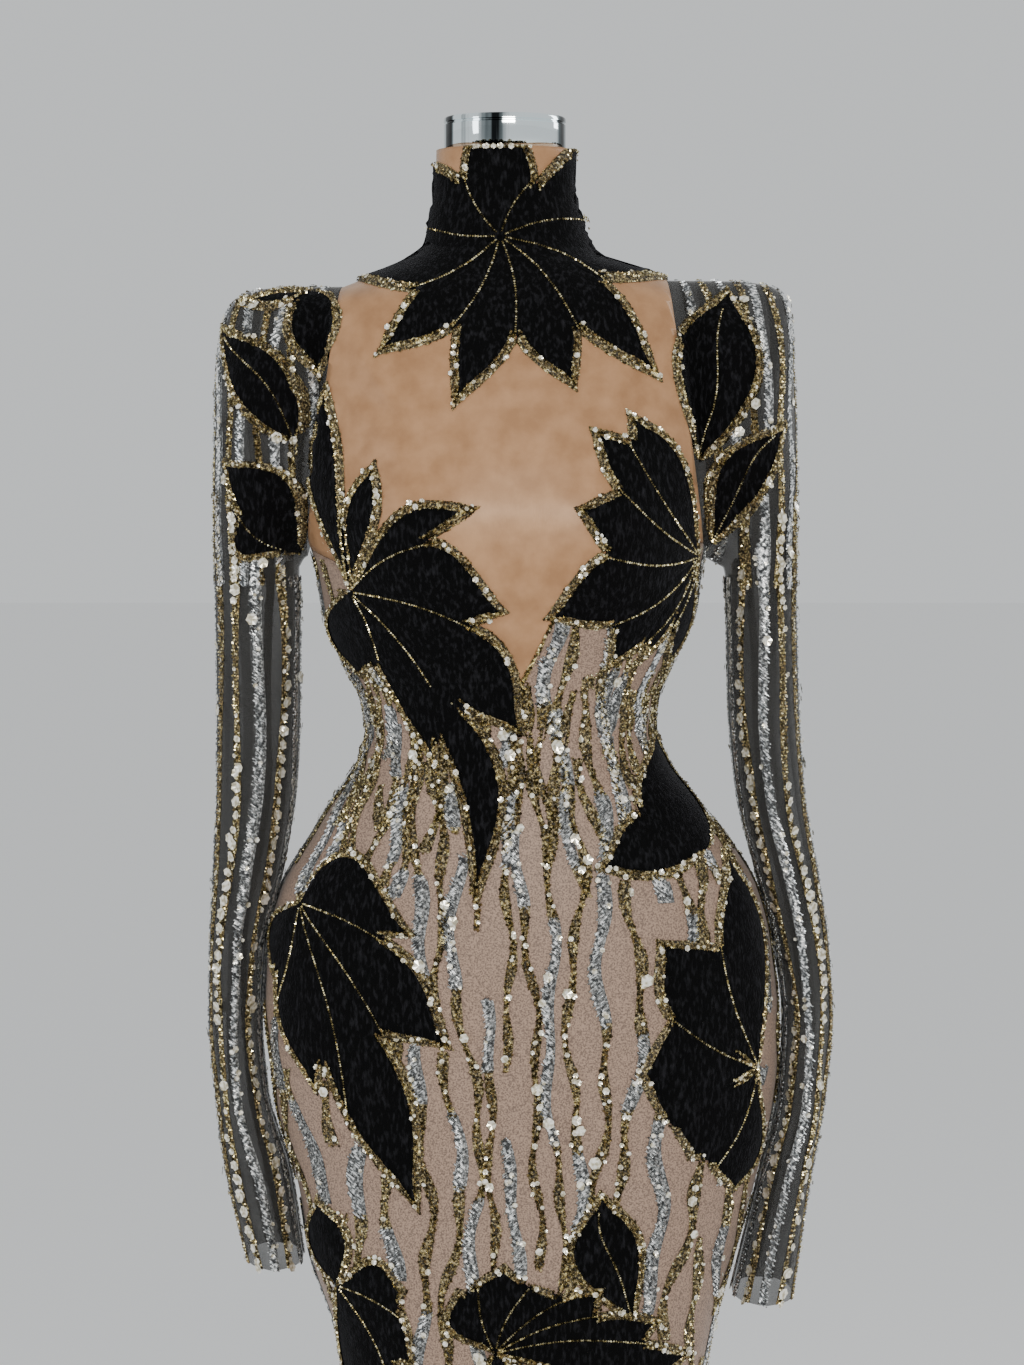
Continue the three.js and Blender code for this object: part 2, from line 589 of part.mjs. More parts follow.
function sprayBar(spray, grow) {
  const near = spray.on === 'body' ? BODY_NEAR : SLEEVE_NEAR;
  let bar = outlineBar(hubOutline(spray, grow), spray.facing, near, BIG);
  for (const leaf of spray.leaves) {
    bar = bar.add(outlineBar(leafOutline(spray, leaf, grow), spray.facing, near, BIG));
  }
  return bar;
}

function largestPiece(solid) {
  const pieces = solid.decompose();
  return pieces.reduce((best, piece) => (piece.volume() > best.volume() ? piece : best));
}

function buildSprays() {
  const skins = {
    body: bodyWall(0, 1, HEM_Z, COLLAR_TOP_Z, SEAM, SEAM + NAP),
    sleeve_right: sleeveWall(SLEEVES.sleeve_right, SEAM, SEAM + NAP),
    sleeve_left: sleeveWall(SLEEVES.sleeve_left, SEAM, SEAM + NAP),
  };
  for (const side of [-1, 1]) skins.body = skins.body.subtract(armholeSide(side, -ARM_MARGIN));
  const torso = slab(-ARMPIT.x, ARMPIT.x, -BIG, BIG, FLOOR, ARMHOLE.lowZ + ARMPIT.up);
  for (const [name, sleeve] of Object.entries(SLEEVES)) {
    const inBody = armholeSide(sleeve.side, SLEEVE_MARGIN, BODY_SIDE);
    skins[name] = skins[name].subtract(inBody).subtract(torso);
  }
  const names = Object.keys(SPRAYS);
  names.forEach((name, index) => {
    const spray = SPRAYS[name];
    let cut = skins[spray.on].intersect(sprayBar(spray, 0));
    // Where two sprays meet, the one named first lies whole
    for (const other of names.slice(0, index).map((key) => SPRAYS[key])) {
      if (other.on === spray.on) cut = cut.subtract(sprayBar(other, SPRAY_GAP));
    }
    place(name, toGeometry(largestPiece(cut)), 'velvet');
  });
}

// A closed solid through rings of points from the lowest ring to the highest
function plugGeometry(rings) {
  const columns = rings[0].length;
  const points = rings.flat();
  const faces = [];
  for (let r = 0; r < rings.length - 1; r += 1) {
    for (let c = 0; c < columns; c += 1) {
      const next = (c + 1) % columns;
      const [a, b] = [r * columns + c, r * columns + next];
      faces.push(a, b, b + columns, a, b + columns, a + columns);
    }
  }
  const middle = (ring) => {
    return ring.reduce((sum, p) => sum.add(p), new THREE.Vector3()).divideScalar(columns);
  };
  const low = points.push(middle(rings[0])) - 1;
  const high = points.push(middle(rings[rings.length - 1])) - 1;
  const top = (rings.length - 1) * columns;
  for (let c = 0; c < columns; c += 1) {
    const next = (c + 1) % columns;
    faces.push(low, next, c, high, top + c, top + next);
  }
  return meshGeometry(points, faces);
}

function buildForm() {
  const turns = Array.from({ length: FORM_COLUMNS }, (_, i) => i / FORM_COLUMNS);
  const ringAt = (z, out) => turns.map((turn) => bodyAt(turn, z, out));
  const skin = -(WALL + FORM_GAP);
  const rings = levels(FORM_LOW_RING_Z, FORM_TOP_Z).map((z) => ringAt(z, skin));
  const rim = ringAt(RIM_Z, skin - RIM_INSET);
  let form = toSolid(plugGeometry([rim, ...rings]));
  for (const side of [-1, 1]) form = form.subtract(armholeSide(side, -FORM_ARM_GAP));
  place('form_body', toGeometry(form), 'form');
}

// A solid turned about the upright axis through the neck or the stand
function turned(name, profile, look) {
  const points = profile.map(([r, z]) => new THREE.Vector2(r, z));
  const lathe = new THREE.LatheGeometry(points, LATHE_SIDES);
  lathe.applyMatrix4(new THREE.Matrix4().makeRotationX(Math.PI / 2));
  place(name, toGeometry(toSolid(lathe)), look);
}

function buildStand() {
  const capLow = FORM_TOP_Z + SEAM;
  turned('neck_cap', [
    [0, capLow], [CAP.radius, capLow], [CAP.radius, CAP.top - CAP.edge],
    [CAP.radius - CAP.bevel, CAP.top - CAP.bevel], [CAP.radius - CAP.edge, CAP.top], [0, CAP.top],
  ], 'chrome');
  const plateTop = RIM_Z - SEAM;
  const plateLow = plateTop - PLATE.thick;
  turned('form_plate', [
    [0, plateLow], [PLATE.radius, plateLow], [PLATE.radius, plateTop], [0, plateTop],
  ], 'chrome');
  const poleLow = BASE.bossTop + SEAM;
  const poleTop = plateLow - SEAM;
  turned('stand_pole', [
    [0, poleLow], [POLE_RADIUS, poleLow], [POLE_RADIUS, poleTop], [0, poleTop],
  ], 'chrome');
  turned('stand_base', [
    [0, 0], [BASE.radius, 0], [BASE.radius, BASE.rim], [BASE.boss + BASE.bossFoot, BASE.slope],
    [BASE.boss, BASE.slope + BASE.bossFoot / 2], [BASE.boss, BASE.bossTop], [0, BASE.bossTop],
  ], 'chrome');
}

function boxSolid(wide, deep, tall, x, y, z) {
  return slab(x - wide / 2, x + wide / 2, y - deep / 2, y + deep / 2, z - tall / 2, z + tall / 2);
}

// A rod along X
function rodSolid(radius, length, y, z) {
  const rod = new THREE.CylinderGeometry(radius, radius, length, ROD_SIDES);
  rod.rotateZ(Math.PI / 2);
  rod.translate(0, y, z);
  return toSolid(rod);
}

function buildZip() {
  const pinY = ZIP.y + ZIP.pinOut;
  const postX = (ZIP.gap + ZIP.post) / 2;
  const postDeep = ZIP.pinOut + ZIP.pinCover - ZIP.thick;
  const postY = ZIP.y + ZIP.thick + (postDeep - ZIP.overlap) / 2;
  let slider = boxSolid(ZIP.wide, ZIP.thick, ZIP.tall, 0, ZIP.y + ZIP.thick / 2, ZIP.z);
  for (const side of [-1, 1]) {
    const post = boxSolid(ZIP.post, postDeep + ZIP.overlap, ZIP.postTall, side * postX, postY, ZIP.z);
    slider = slider.add(post);
  }
  slider = slider.add(rodSolid(ZIP.pin, ZIP.gap + ZIP.post, pinY, ZIP.z));
  place('zip_slider', toGeometry(slider), 'metal');

  // The tab hangs from a ring around the slider's pin
  const neckTall = PULL.start + 1;
  const plateTall = PULL.length - PULL.start;
  const plateZ = ZIP.z - PULL.start - plateTall / 2;
  let pull = rodSolid(PULL.eye, PULL.eyeWide, pinY, ZIP.z);
  pull = pull.add(boxSolid(PULL.eyeWide, PULL.thick, neckTall, 0, pinY, ZIP.z - neckTall / 2));
  pull = pull.add(boxSolid(PULL.wide, PULL.thick, plateTall, 0, pinY, plateZ));
  pull = pull.subtract(rodSolid(PULL.bore, 2 * PULL.eyeWide, pinY, ZIP.z));
  place('zip_pull', toGeometry(pull), 'metal');
}

buildForm();
buildStand();
buildBodyPanels();
buildCollar();
buildSleeves();
buildSprays();
buildZip();

export default gown;
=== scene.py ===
import json
import math

import bmesh
import bpy
import numpy as np
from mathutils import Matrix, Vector
from mathutils.bvhtree import BVHTree

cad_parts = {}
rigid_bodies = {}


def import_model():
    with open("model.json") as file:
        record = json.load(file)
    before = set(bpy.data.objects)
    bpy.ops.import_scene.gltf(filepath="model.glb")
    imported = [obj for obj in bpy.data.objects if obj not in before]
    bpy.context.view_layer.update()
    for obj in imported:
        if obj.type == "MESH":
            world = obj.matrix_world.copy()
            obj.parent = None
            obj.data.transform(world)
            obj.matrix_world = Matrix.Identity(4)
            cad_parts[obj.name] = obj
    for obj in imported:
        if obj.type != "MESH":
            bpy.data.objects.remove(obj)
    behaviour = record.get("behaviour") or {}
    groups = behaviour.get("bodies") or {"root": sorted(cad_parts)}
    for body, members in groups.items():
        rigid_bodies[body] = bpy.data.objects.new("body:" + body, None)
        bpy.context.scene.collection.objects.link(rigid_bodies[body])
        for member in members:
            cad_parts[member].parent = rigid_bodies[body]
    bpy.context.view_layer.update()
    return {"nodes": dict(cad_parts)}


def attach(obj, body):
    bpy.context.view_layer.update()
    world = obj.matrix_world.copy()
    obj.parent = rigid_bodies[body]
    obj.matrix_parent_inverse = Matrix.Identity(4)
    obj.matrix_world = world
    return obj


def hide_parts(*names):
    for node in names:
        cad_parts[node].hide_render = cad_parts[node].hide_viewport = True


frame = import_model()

chance = np.random.default_rng(4)

# All tables are in millimetres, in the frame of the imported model, and MM makes them metres
MM = 0.001
TAU = 2 * math.pi

# Sizes of the gown's cloth
ROUNDNESS = 2.3
HEM_Z = 10
COLLAR_SEAM_Z = 1403
COLLAR_TOP_Z = 1469
YOKE_BACK_Z = 1215
RIM_Z = 669
SEAM = 0.3
CLOTH_THICK = 0.9
COLLAR_THICK = 1.4
VELVET_THICK = 0.7
FORM_INSET = 2.45
PANEL_SEAM = 0.0004  # half the gap of a side or back seam, as a share of a full turn
COLLAR_SLIT = 0.0006
CUT_BELOW = 25  # how far below the armhole its cut still reaches

BODY_COLUMNS = ("z", "half", "front", "back", "mid", "flute")
BODY_ROWS = [
    (10, 274, 250, 258, -2.8, 15),
    (100, 239, 216, 224, 0, 13),
    (200, 195, 174, 180, 1, 10),
    (300, 156, 134, 138, 3, 7),
    (400, 127, 103, 105, 6, 4),
    (480, 117, 93, 93, 9, 2),
    (560, 120, 92, 92, 12, 1),
    (640, 132, 95, 95, 14, 0),
    (695, 148, 97, 97, 12, 0),
    (752, 161.5, 98, 101, 15, 0),
    (808, 175.5, 101, 108, 14, 0),
    (864, 180.5, 104, 118, 12, 0),
    (920, 176, 106, 123, 10, 0),
    (958, 166, 105, 118, 10, 0),
    (990, 147, 101, 108, 10, 0),
    (1017, 128, 96, 98, 7, 0),
    (1045, 107.5, 92, 87, 5, 0),
    (1070, 101, 92, 84, 4, 0),
    (1087, 102.5, 94, 84, 3, 0),
    (1115, 115, 101, 86, 2, 0),
    (1150, 129, 113, 90, 3, 0),
    (1184, 135, 122, 95, 3, 0),
    (1215, 144, 123, 97, 2, 0),
    (1250, 149, 117, 95, 2, 0),
    (1290, 150, 106, 92, 1, 0),
    (1330, 149, 93, 86, 1, 0),
    (1362, 142, 80, 78, 1, 0),
    (1378, 110, 71, 72, 6, 0),
    (1386, 90, 65, 68, 6, 0),
    (1394, 67, 60, 64, 0, 0),
    (1403, 57.5, 54, 60, 2, 0),
    (1418, 54, 49, 56, 1, 0),
    (1437, 48.5, 45, 52, 0, 0),
    (1469, 47.5, 44, 50, 0, 0),
]
BUST_X, BUST_Z = 68, 1198
BUST_WIDE, BUST_TALL, BUST_HEIGHT = 46, 58, 8
FLUTES = 9
SWAY_SHARE, SWAY_WAVES, SWAY_START = 0.35, 4, 1

SLEEVE_COLUMNS = ("in_x", "in_z", "out_x", "out_z", "depth", "fold")
SLEEVES = {
    "sleeve_right": (-1, [
        (-134.6, 1190, -109.6, 1375, 0, 0),
        (-140, 1187, -149, 1375.5, 66, 0),
        (-142, 1184, -178, 1372, 64, 0),
        (-143, 1182, -193, 1357, 62, 0),
        (-144, 1180, -200, 1320, 60, 0),
        (-144, 1176, -202, 1268, 57, 0),
        (-144, 1168, -202.5, 1212, 54, 1),
        (-144, 1150, -202, 1160, 52, 1.5),
        (-144.5, 1087, -201, 1090, 50, 2),
        (-147, 1030, -201.6, 1030, 48, 2),
        (-156, 972, -204.5, 972, 46, 2.2),
        (-169.5, 915, -207, 915, 44, 2.2),
        (-172.5, 862, -208, 862, 43, 2.2),
        (-168, 808, -204, 808, 43, 2.2),
        (-152, 752, -196, 752, 44, 2.2),
        (-143, 692, -182, 694, 45, 2.2),
    ]),
    "sleeve_left": (1, [
        (134.6, 1190, 109.2, 1379, 0, 0),
        (141, 1187, 152, 1379.5, 66, 0),
        (146, 1184, 183, 1376.5, 64, 0),
        (150, 1182, 197, 1363, 62, 0),
        (153, 1180, 201, 1320, 60, 0),
        (154, 1176, 202.5, 1268, 56, 0),
        (155, 1168, 203, 1212, 53, 1),
        (156, 1150, 203.5, 1160, 51, 1.5),
        (157.5, 1087, 205, 1090, 50, 2),
        (164, 1020, 210, 1020, 48, 2),
        (178, 964, 220, 964, 46, 2.2),
        (190.5, 915, 227, 915, 44, 2.2),
        (197, 862, 230, 862, 43, 2.2),
        (194, 808, 226, 808, 43, 2.2),
        (181, 752, 216, 752, 44, 2.2),
        (161, 668, 203.7, 668, 45, 2.2),
    ]),
}
SLEEVE_FOLDS, FOLD_START = 5, 1.2
SLEEVE_Y = 6
SLEEVE_GIRTH = 165
ARMHOLE_TOP = (112, 1376)
ARMHOLE_LOW = (138, 1186)

# The V of the front yoke, across and up
V_EDGE_X = [-300, -140, -69, -26, 9, 37, 70, 100, 140, 300]
V_EDGE_Z = [1196, 1196, 1169, 1157, 1100, 1157, 1194, 1202, 1198, 1198]

# Soft creases of the body's cloth: turn and height of the middle, lean from upright in degrees,
# half length, half width, and height of the ridge, below zero for a trough
BODY_CREASES = [
    (-0.130, 1316, -40, 34, 7, 1.5), (-0.118, 1290, -56, 32, 6, -1.2), (-0.095, 1264, -30, 40, 9, 1.1),
    (0.132, 1322, 48, 30, 6, 1.6), (0.122, 1298, 36, 38, 8, -1.2), (0.098, 1350, 60, 26, 6, 1.3),
    (-0.045, 1336, 12, 30, 8, 0.8), (0.068, 1332, -66, 26, 6, -1.0), (0.010, 1250, 86, 44, 11, 0.7),
    (-0.085, 1160, 74, 42, 8, -1.1), (0.092, 1150, -72, 36, 7, -1.0), (0.020, 1128, 80, 30, 8, 0.9),
    (-0.055, 1088, 84, 58, 6, 1.3), (0.062, 1068, 93, 66, 7, -1.3), (0.150, 1080, 80, 50, 6, 1.3),
    (-0.160, 1062, 98, 56, 7, -1.2), (0.005, 1040, 88, 52, 8, 1.2), (-0.110, 1030, 76, 40, 6, 1.1),
    (-0.100, 986, 58, 60, 9, 1.2), (0.120, 1000, -54, 56, 9, -1.1), (0.030, 930, 20, 70, 12, 0.9),
    (0.035, 762, 11, 90, 12, -1.3), (-0.070, 724, -9, 80, 11, 1.5), (0.105, 700, 14, 90, 12, 1.4),
    (0.420, 1070, 84, 56, 7, 1.4), (0.560, 1058, 96, 60, 7, -1.3), (0.605, 1092, 78, 50, 6, 1.2),
    (0.380, 1104, 102, 50, 7, -1.2), (0.450, 1000, 58, 56, 9, 1.2), (0.552, 984, -62, 60, 9, -1.2),
    (0.395, 1292, 42, 36, 7, 1.3), (0.612, 1302, -46, 34, 7, 1.3), (0.530, 1340, 78, 40, 8, -0.9),
    (0.500, 872, 6, 80, 12, -1.1), (0.290, 900, 14, 70, 10, 1.1), (0.705, 880, -10, 74, 10, 1.2),
    (0.060, 560, 6, 90, 14, 2.2), (-0.110, 520, -7, 100, 13, -2.4), (-0.030, 430, 4, 120, 16, 2.6),
    (0.180, 470, 8, 110, 15, -2.4), (0.330, 540, -6, 100, 14, 2.3), (0.470, 450, 5, 120, 16, -2.6),
    (0.600, 530, -8, 100, 14, 2.4), (0.740, 440, 6, 120, 16, 2.5), (0.860, 560, -5, 90, 13, -2.2),
]

# Soft creases of each sleeve: the place around it, the height of its middle, then as above
SLEEVE_CREASES = {
    "sleeve_right": [
        (0.860, 1120, 3, 90, 4, 1.8), (0.660, 1080, -4, 110, 5, -1.8), (0.780, 985, 5, 80, 5, 1.7),
        (0.900, 930, -14, 50, 5, -1.6), (0.700, 905, 16, 46, 5, 1.7), (0.600, 840, -5, 80, 5, -1.6),
        (0.820, 780, 6, 70, 5, 1.8), (0.740, 1240, -20, 40, 6, 1.5), (0.600, 1305, 18, 44, 6, -1.5),
        (0.300, 1100, 4, 100, 6, 1.8), (0.200, 950, -6, 90, 5, -1.7), (0.360, 820, 6, 80, 5, 1.7),
    ],
    "sleeve_left": [
        (0.840, 1130, -4, 100, 4, 1.7), (0.690, 1060, 5, 100, 5, -1.8), (0.770, 1000, -6, 70, 5, 1.8),
        (0.890, 905, 12, 56, 5, -1.7), (0.720, 880, -15, 48, 5, 1.6), (0.610, 820, 4, 90, 5, -1.7),
        (0.830, 760, -6, 80, 5, 1.8), (0.730, 1260, 18, 44, 6, 1.4), (0.590, 1290, -16, 40, 6, -1.4),
        (0.280, 1080, -5, 96, 6, 1.7), (0.190, 930, 6, 84, 5, -1.8), (0.350, 790, -6, 84, 5, 1.7),
    ],
}

# Leaf sprays: what they lie on, the bearing they are drawn from, and their hub across and up.
# A leaf's row holds its turn from up, its length, its widths to the left and right of the line
# from hub to tip, and the share of its length at which it is fullest.
SPRAYS = {
    "spray_neck": ("body", 0, -3, 1406, [
        (-105, 104, 22, 24, 0.5), (-134, 116, 24, 14, 0.5), (-165, 121, 28, 13, 0.48),
        (154, 116, 22, 20, 0.55), (132, 146, 25, 12, 0.52), (103, 118, 25, 14, 0.5),
        (-4, 105, 23, 27, 0.38), (-40, 74, 38, 8, 0.42), (37, 86, 3, 40, 0.42)
    ]),
    "spray_bust_right": ("body", -20, -68, 1167, [
        (-9, 142, 26, 8, 0.6), (14, 90, 14, 14, 0.6), (59, 110, 24, 2, 0.6),
        (97, 110, 43, 16, 0.55), (131, 148, 42, 12, 0.62), (156, 134, 24, 10, 0.5),
        (158, 231, 46, -14, 0.6), (-175, 60, 30, 34, 0.5)
    ]),
    "spray_bust_left": ("body", 20, 104, 1190, [
        (-31, 114, 20, 18, 0.6), (-45, 122, 20, 16, 0.65), (-72, 107, 25, 25, 0.6),
        (-109, 124, 20, 30, 0.6), (-137, 103, 8, 26, 0.65), (-148, 86, 8, 10, 0.6),
        (-168, 80, 14, 10, 0.6)
    ]),
    "spray_shoulder_right": ("sleeve_right", -15, -125, 1370, [
        (166, 62, 27, 14, 0.38), (-98, 50, 8, 5, 0.4)
    ]),
    "spray_arm_right": ("sleeve_right", -25, -106, 1269, [
        (-39, 104, 14, 28, 0.42),
    ]),
    "spray_elbow_right": ("sleeve_right", -25, -120, 1192, [
        (-31, 74, 8, 36, 0.5), (-77, 34, 10, 26, 0.6)
    ]),
    "spray_shoulder_left": ("sleeve_left", 12, 120, 1254, [
        (12, 122, 36, 26, 0.55),
    ]),
    "spray_arm_left": ("sleeve_left", 20, 125, 1198, [
        (26, 93, 32, 6, 0.5),
    ]),
    "spray_waist": ("body", 40, 65, 988, [
        (-96, 82, 10, 34, 0.5), (-3, 83, 44, 30, 0.42)
    ]),
    "spray_hip_left": ("body", 55, 55, 838, [
        (-2, 150, 30, 22, 0.6), (-38, 118, 28, 32, 0.6), (-88, 82, 36, 42, 0.7),
        (-140, 76, 28, 40, 0.7), (-173, 88, 26, 30, 0.65)
    ]),
    "spray_hip_right": ("body", -40, -70, 952, [
        (101, 90, 43, 12, 0.35), (131, 143, 32, 26, 0.55), (158, 224, 32, 20, 0.58),
        (173, 131, 24, 30, 0.5), (-152, 58, 14, 26, 0.55)
    ]),
    "spray_thigh_right": ("body", -25, -81, 687, [
        (-14, 62, 25, 22, 0.5), (88, 56, 22, 26, 0.6), (129, 78, 24, 28, 0.55),
        (168, 103, 30, 24, 0.55)
    ]),
    "spray_thigh_middle": ("body", 5, -15, 649, [
        (-31, 50, 20, 20, 0.6), (6, 61, 22, 24, 0.6), (48, 60, 24, 20, 0.65),
        (59, 86, 10, 22, 0.65), (81, 117, 14, 23, 0.65), (94, 140, 12, 23, 0.65),
        (168, 95, 26, 24, 0.5)
    ]),
    "spray_thigh_left": ("body", 25, 43, 669, [
        (-15, 94, 32, 18, 0.55),
    ]),
}


# Surfaces of the gown, worked out for whole arrays of places at once

def smooth_field(places, values):
    places = np.asarray(places, float)
    values = np.asarray(values, float)
    slopes = np.diff(values) / np.diff(places)
    tangents = np.zeros(len(places))
    product = slopes[:-1] * slopes[1:]
    total = slopes[:-1] + slopes[1:]
    rising = product > 0
    tangents[1:-1][rising] = 2 * product[rising] / total[rising]

    def field(at):
        at = np.clip(at, places[0], places[-1])
        i = np.clip(np.searchsorted(places, at, "right") - 1, 0, len(places) - 2)
        span = places[i + 1] - places[i]
        t = (at - places[i]) / span
        start = values[i] * (1 + 2 * t) * (1 - t) ** 2
        end = values[i + 1] * t * t * (3 - 2 * t)
        bend = tangents[i] * t * (1 - t) ** 2 + tangents[i + 1] * t * t * (t - 1)
        return start + end + span * bend

    return field


body_table = np.array(BODY_ROWS, float)
body_field = {
    name: smooth_field(body_table[:, 0], body_table[:, i])
    for i, name in enumerate(BODY_COLUMNS) if i
}


def body_point(turn, z):
    angle = np.asarray(turn) * TAU
    across, ahead = np.sin(angle), np.cos(angle)
    half, mid, flute = (body_field[k](z) for k in ("half", "mid", "flute"))
    depth = np.where(ahead > 0, body_field["front"](z), body_field["back"](z))
    total = (np.abs(across) / half) ** ROUNDNESS + (np.abs(ahead) / depth) ** ROUNDNESS
    wave = np.cos(FLUTES * angle) + SWAY_SHARE * np.cos(SWAY_WAVES * angle + SWAY_START)
    radius = total ** (-1 / ROUNDNESS) + flute * wave
    x = radius * across
    tall = np.exp(-(((z - BUST_Z) / BUST_TALL) ** 2))
    mounds = sum(np.exp(-(((x + side * BUST_X) / BUST_WIDE) ** 2)) for side in (-1, 1))
    mound = BUST_HEIGHT * tall * mounds * np.clip(ahead * 3, 0, 1)
    return np.stack([x + mid, -radius * ahead - mound, z + 0 * x], axis=-1)


def body_girth(z):
    return 0.95 * math.pi * (body_field["half"](z) + body_field["front"](z))


def crease_height(creases, places, z, girth):
    """How far the creases lift the cloth; places run once around in 0 to 1."""
    total = 0
    for place, middle, lean, long, wide, high in creases:
        angle = math.radians(lean)
        sideways = ((places - place + 0.5) % 1 - 0.5) * girth
        along = (z - middle) * math.cos(angle) + sideways * math.sin(angle)
        across = sideways * math.cos(angle) - (z - middle) * math.sin(angle)
        total = total + high * np.exp(-((along / long) ** 2) - (across / wide) ** 2)
    return total


def unit(vectors):
    return vectors / np.maximum(np.linalg.norm(vectors, axis=-1, keepdims=True), 1e-12)


def body_normal(turn, z):
    along_turn = body_point(turn + 0.002, z) - body_point(turn - 0.002, z)
    along_z = body_point(turn, z + 1.5) - body_point(turn, z - 1.5)
    return unit(np.cross(along_turn, along_z))


def body_at(turn, z, out, creased=True):
    turn, z = np.broadcast_arrays(np.asarray(turn, float), np.asarray(z, float))
    out = np.asarray(out, float)
    if creased:
        out = out + crease_height(BODY_CREASES, turn, z, body_girth(z))
    return body_point(turn, z) + body_normal(turn, z) * out[..., None]


def body_depth(x, z, ahead):
    share = np.minimum(1, np.abs(x - body_field["mid"](z)) / body_field["half"](z))
    depth = np.where(ahead, -body_field["front"](z), body_field["back"](z))
    return depth * (1 - share ** ROUNDNESS) ** (1 / ROUNDNESS)


def sleeve_fields(name):
    rows = np.array(SLEEVES[name][1], float)
    steps = np.arange(len(rows))
    return {key: smooth_field(steps, rows[:, i]) for i, key in enumerate(SLEEVE_COLUMNS)}


sleeve_field = {name: sleeve_fields(name) for name in SLEEVES}


def sleeve_point(name, around, along):
    field = sleeve_field[name]
    angle = around * TAU
    share = (1 - np.cos(angle)) / 2
    x = field["in_x"](along) + (field["out_x"](along) - field["in_x"](along)) * share
    z = field["in_z"](along) + (field["out_z"](along) - field["in_z"](along)) * share
    swell = np.sign(np.sin(angle)) * np.abs(np.sin(angle)) ** 0.9
    fold = field["fold"](along) * np.cos(SLEEVE_FOLDS * angle + FOLD_START) * (1 - np.abs(np.cos(angle)))
    plain = (field["depth"](along) + fold) * swell + SLEEVE_Y
    # The first ring takes the body's depth at the armhole, and the cloth runs on from there
    of_body = np.clip(1 - along, 0, 1)
    seam = dict(zip(SLEEVE_COLUMNS, SLEEVES[name][1][0]))
    seam_x = seam["in_x"] + (seam["out_x"] - seam["in_x"]) * share
    seam_z = seam["in_z"] + (seam["out_z"] - seam["in_z"]) * share
    edge = body_depth(seam_x, seam_z, swell < 0)
    return np.stack([x, plain * (1 - of_body) + edge * of_body, z], axis=-1)


def sleeve_at(name, around, along, out):
    side, rows = SLEEVES[name]
    around, along = np.broadcast_arrays(np.asarray(around, float), np.asarray(along, float))
    inside = np.clip(along, 0.5, len(rows) - 1.5)
    along_u = sleeve_point(name, around + 0.01, inside) - sleeve_point(name, around - 0.01, inside)
    along_v = sleeve_point(name, around, inside + 0.5) - sleeve_point(name, around, inside - 0.5)
    normal = unit(np.cross(along_u, along_v)) * side
    points = sleeve_point(name, around, along)
    crease = crease_height(SLEEVE_CREASES[name], around, points[..., 2], SLEEVE_GIRTH)
    crease = crease * np.clip(along - 1, 0, 1)
    return points + normal * (np.asarray(out, float) + crease)[..., None]


def v_edge(turn):
    """The height of the yoke's V on each upright line of the front."""
    low, high = np.full(turn.shape, 1080.0), np.full(turn.shape, 1215.0)
    for _ in range(30):
        middle = (low + high) / 2
        above = middle > np.interp(body_point(turn, middle)[..., 0], V_EDGE_X, V_EDGE_Z)
        high = np.where(above, middle, high)
        low = np.where(above, low, middle)
    return (low + high) / 2


# Materials

def new_material(name, base, roughness, metallic=0.0):
    material = bpy.data.materials.new(name)
    material.use_nodes = True
    shader = material.node_tree.nodes["Principled BSDF"]
    shader.inputs["Base Color"].default_value = (*base, 1)
    shader.inputs["Roughness"].default_value = roughness
    shader.inputs["Metallic"].default_value = metallic
    return material, shader


def add_node(material, kind, **settings):
    node = material.node_tree.nodes.new(kind)
    for key, value in settings.items():
        if key in node.inputs:
            node.inputs[key].default_value = value
        else:
            setattr(node, key, value)
    return node


def object_noise(material, scale, detail=2.0, squash=(1, 1, 1)):
    """A noise on object coordinates, stretched along an axis where squash is below one."""
    links = material.node_tree.links
    place = add_node(material, "ShaderNodeTexCoord")
    mapping = add_node(material, "ShaderNodeMapping")
    mapping.inputs["Scale"].default_value = squash
    noise = add_node(material, "ShaderNodeTexNoise", Scale=scale, Detail=detail)
    links.new(place.outputs["Object"], mapping.inputs["Vector"])
    links.new(mapping.outputs["Vector"], noise.inputs["Vector"])
    return noise


def colour_from(material, shader, noise, stops):
    ramp = add_node(material, "ShaderNodeValToRGB")
    elements = ramp.color_ramp.elements
    while len(elements) < len(stops):
        elements.new(0.5)
    for element, (place, colour) in zip(elements, stops):
        element.position = place
        element.color = (*colour, 1)
    links = material.node_tree.links
    links.new(noise.outputs["Fac"], ramp.inputs["Fac"])
    links.new(ramp.outputs["Color"], shader.inputs["Base Color"])
    return ramp


def bump_from(material, shader, source, strength, distance):
    bump = add_node(material, "ShaderNodeBump", Strength=strength, Distance=distance)
    links = material.node_tree.links
    links.new(source, bump.inputs["Height"])
    links.new(bump.outputs["Normal"], shader.inputs["Normal"])


def satin_material():
    material, shader = new_material("nude_satin", (0.42, 0.22, 0.11), 0.36)
    # The lighter and darker patches of its colour are painted sheen on the crinkled satin.
    noise = object_noise(material, 60, 9)
    colour_from(material, shader, noise, [(0.34, (0.31, 0.160, 0.075)), (0.68, (0.42, 0.232, 0.118))])
    weave = object_noise(material, 900, 2, (1, 1, 0.25))
    bump_from(material, shader, weave.outputs["Fac"], 0.12, 0.0004)
    shader.inputs["Sheen Weight"].default_value = 0.08
    shader.inputs["Sheen Roughness"].default_value = 0.4
    shader.inputs["Sheen Tint"].default_value = (1.0, 0.80, 0.60, 1)
    shader.inputs["Specular IOR Level"].default_value = 0.5
    shader.inputs["Specular Tint"].default_value = (1.0, 0.80, 0.62, 1)
    return material


def form_material():
    material, shader = new_material("form_cover", (0.55, 0.36, 0.24), 0.6)
    noise = object_noise(material, 14, 3)
    colour_from(material, shader, noise, [(0.3, (0.46, 0.29, 0.19)), (0.7, (0.53, 0.35, 0.23))])
    weave = object_noise(material, 700)
    bump_from(material, shader, weave.outputs["Fac"], 0.1, 0.0004)
    return material


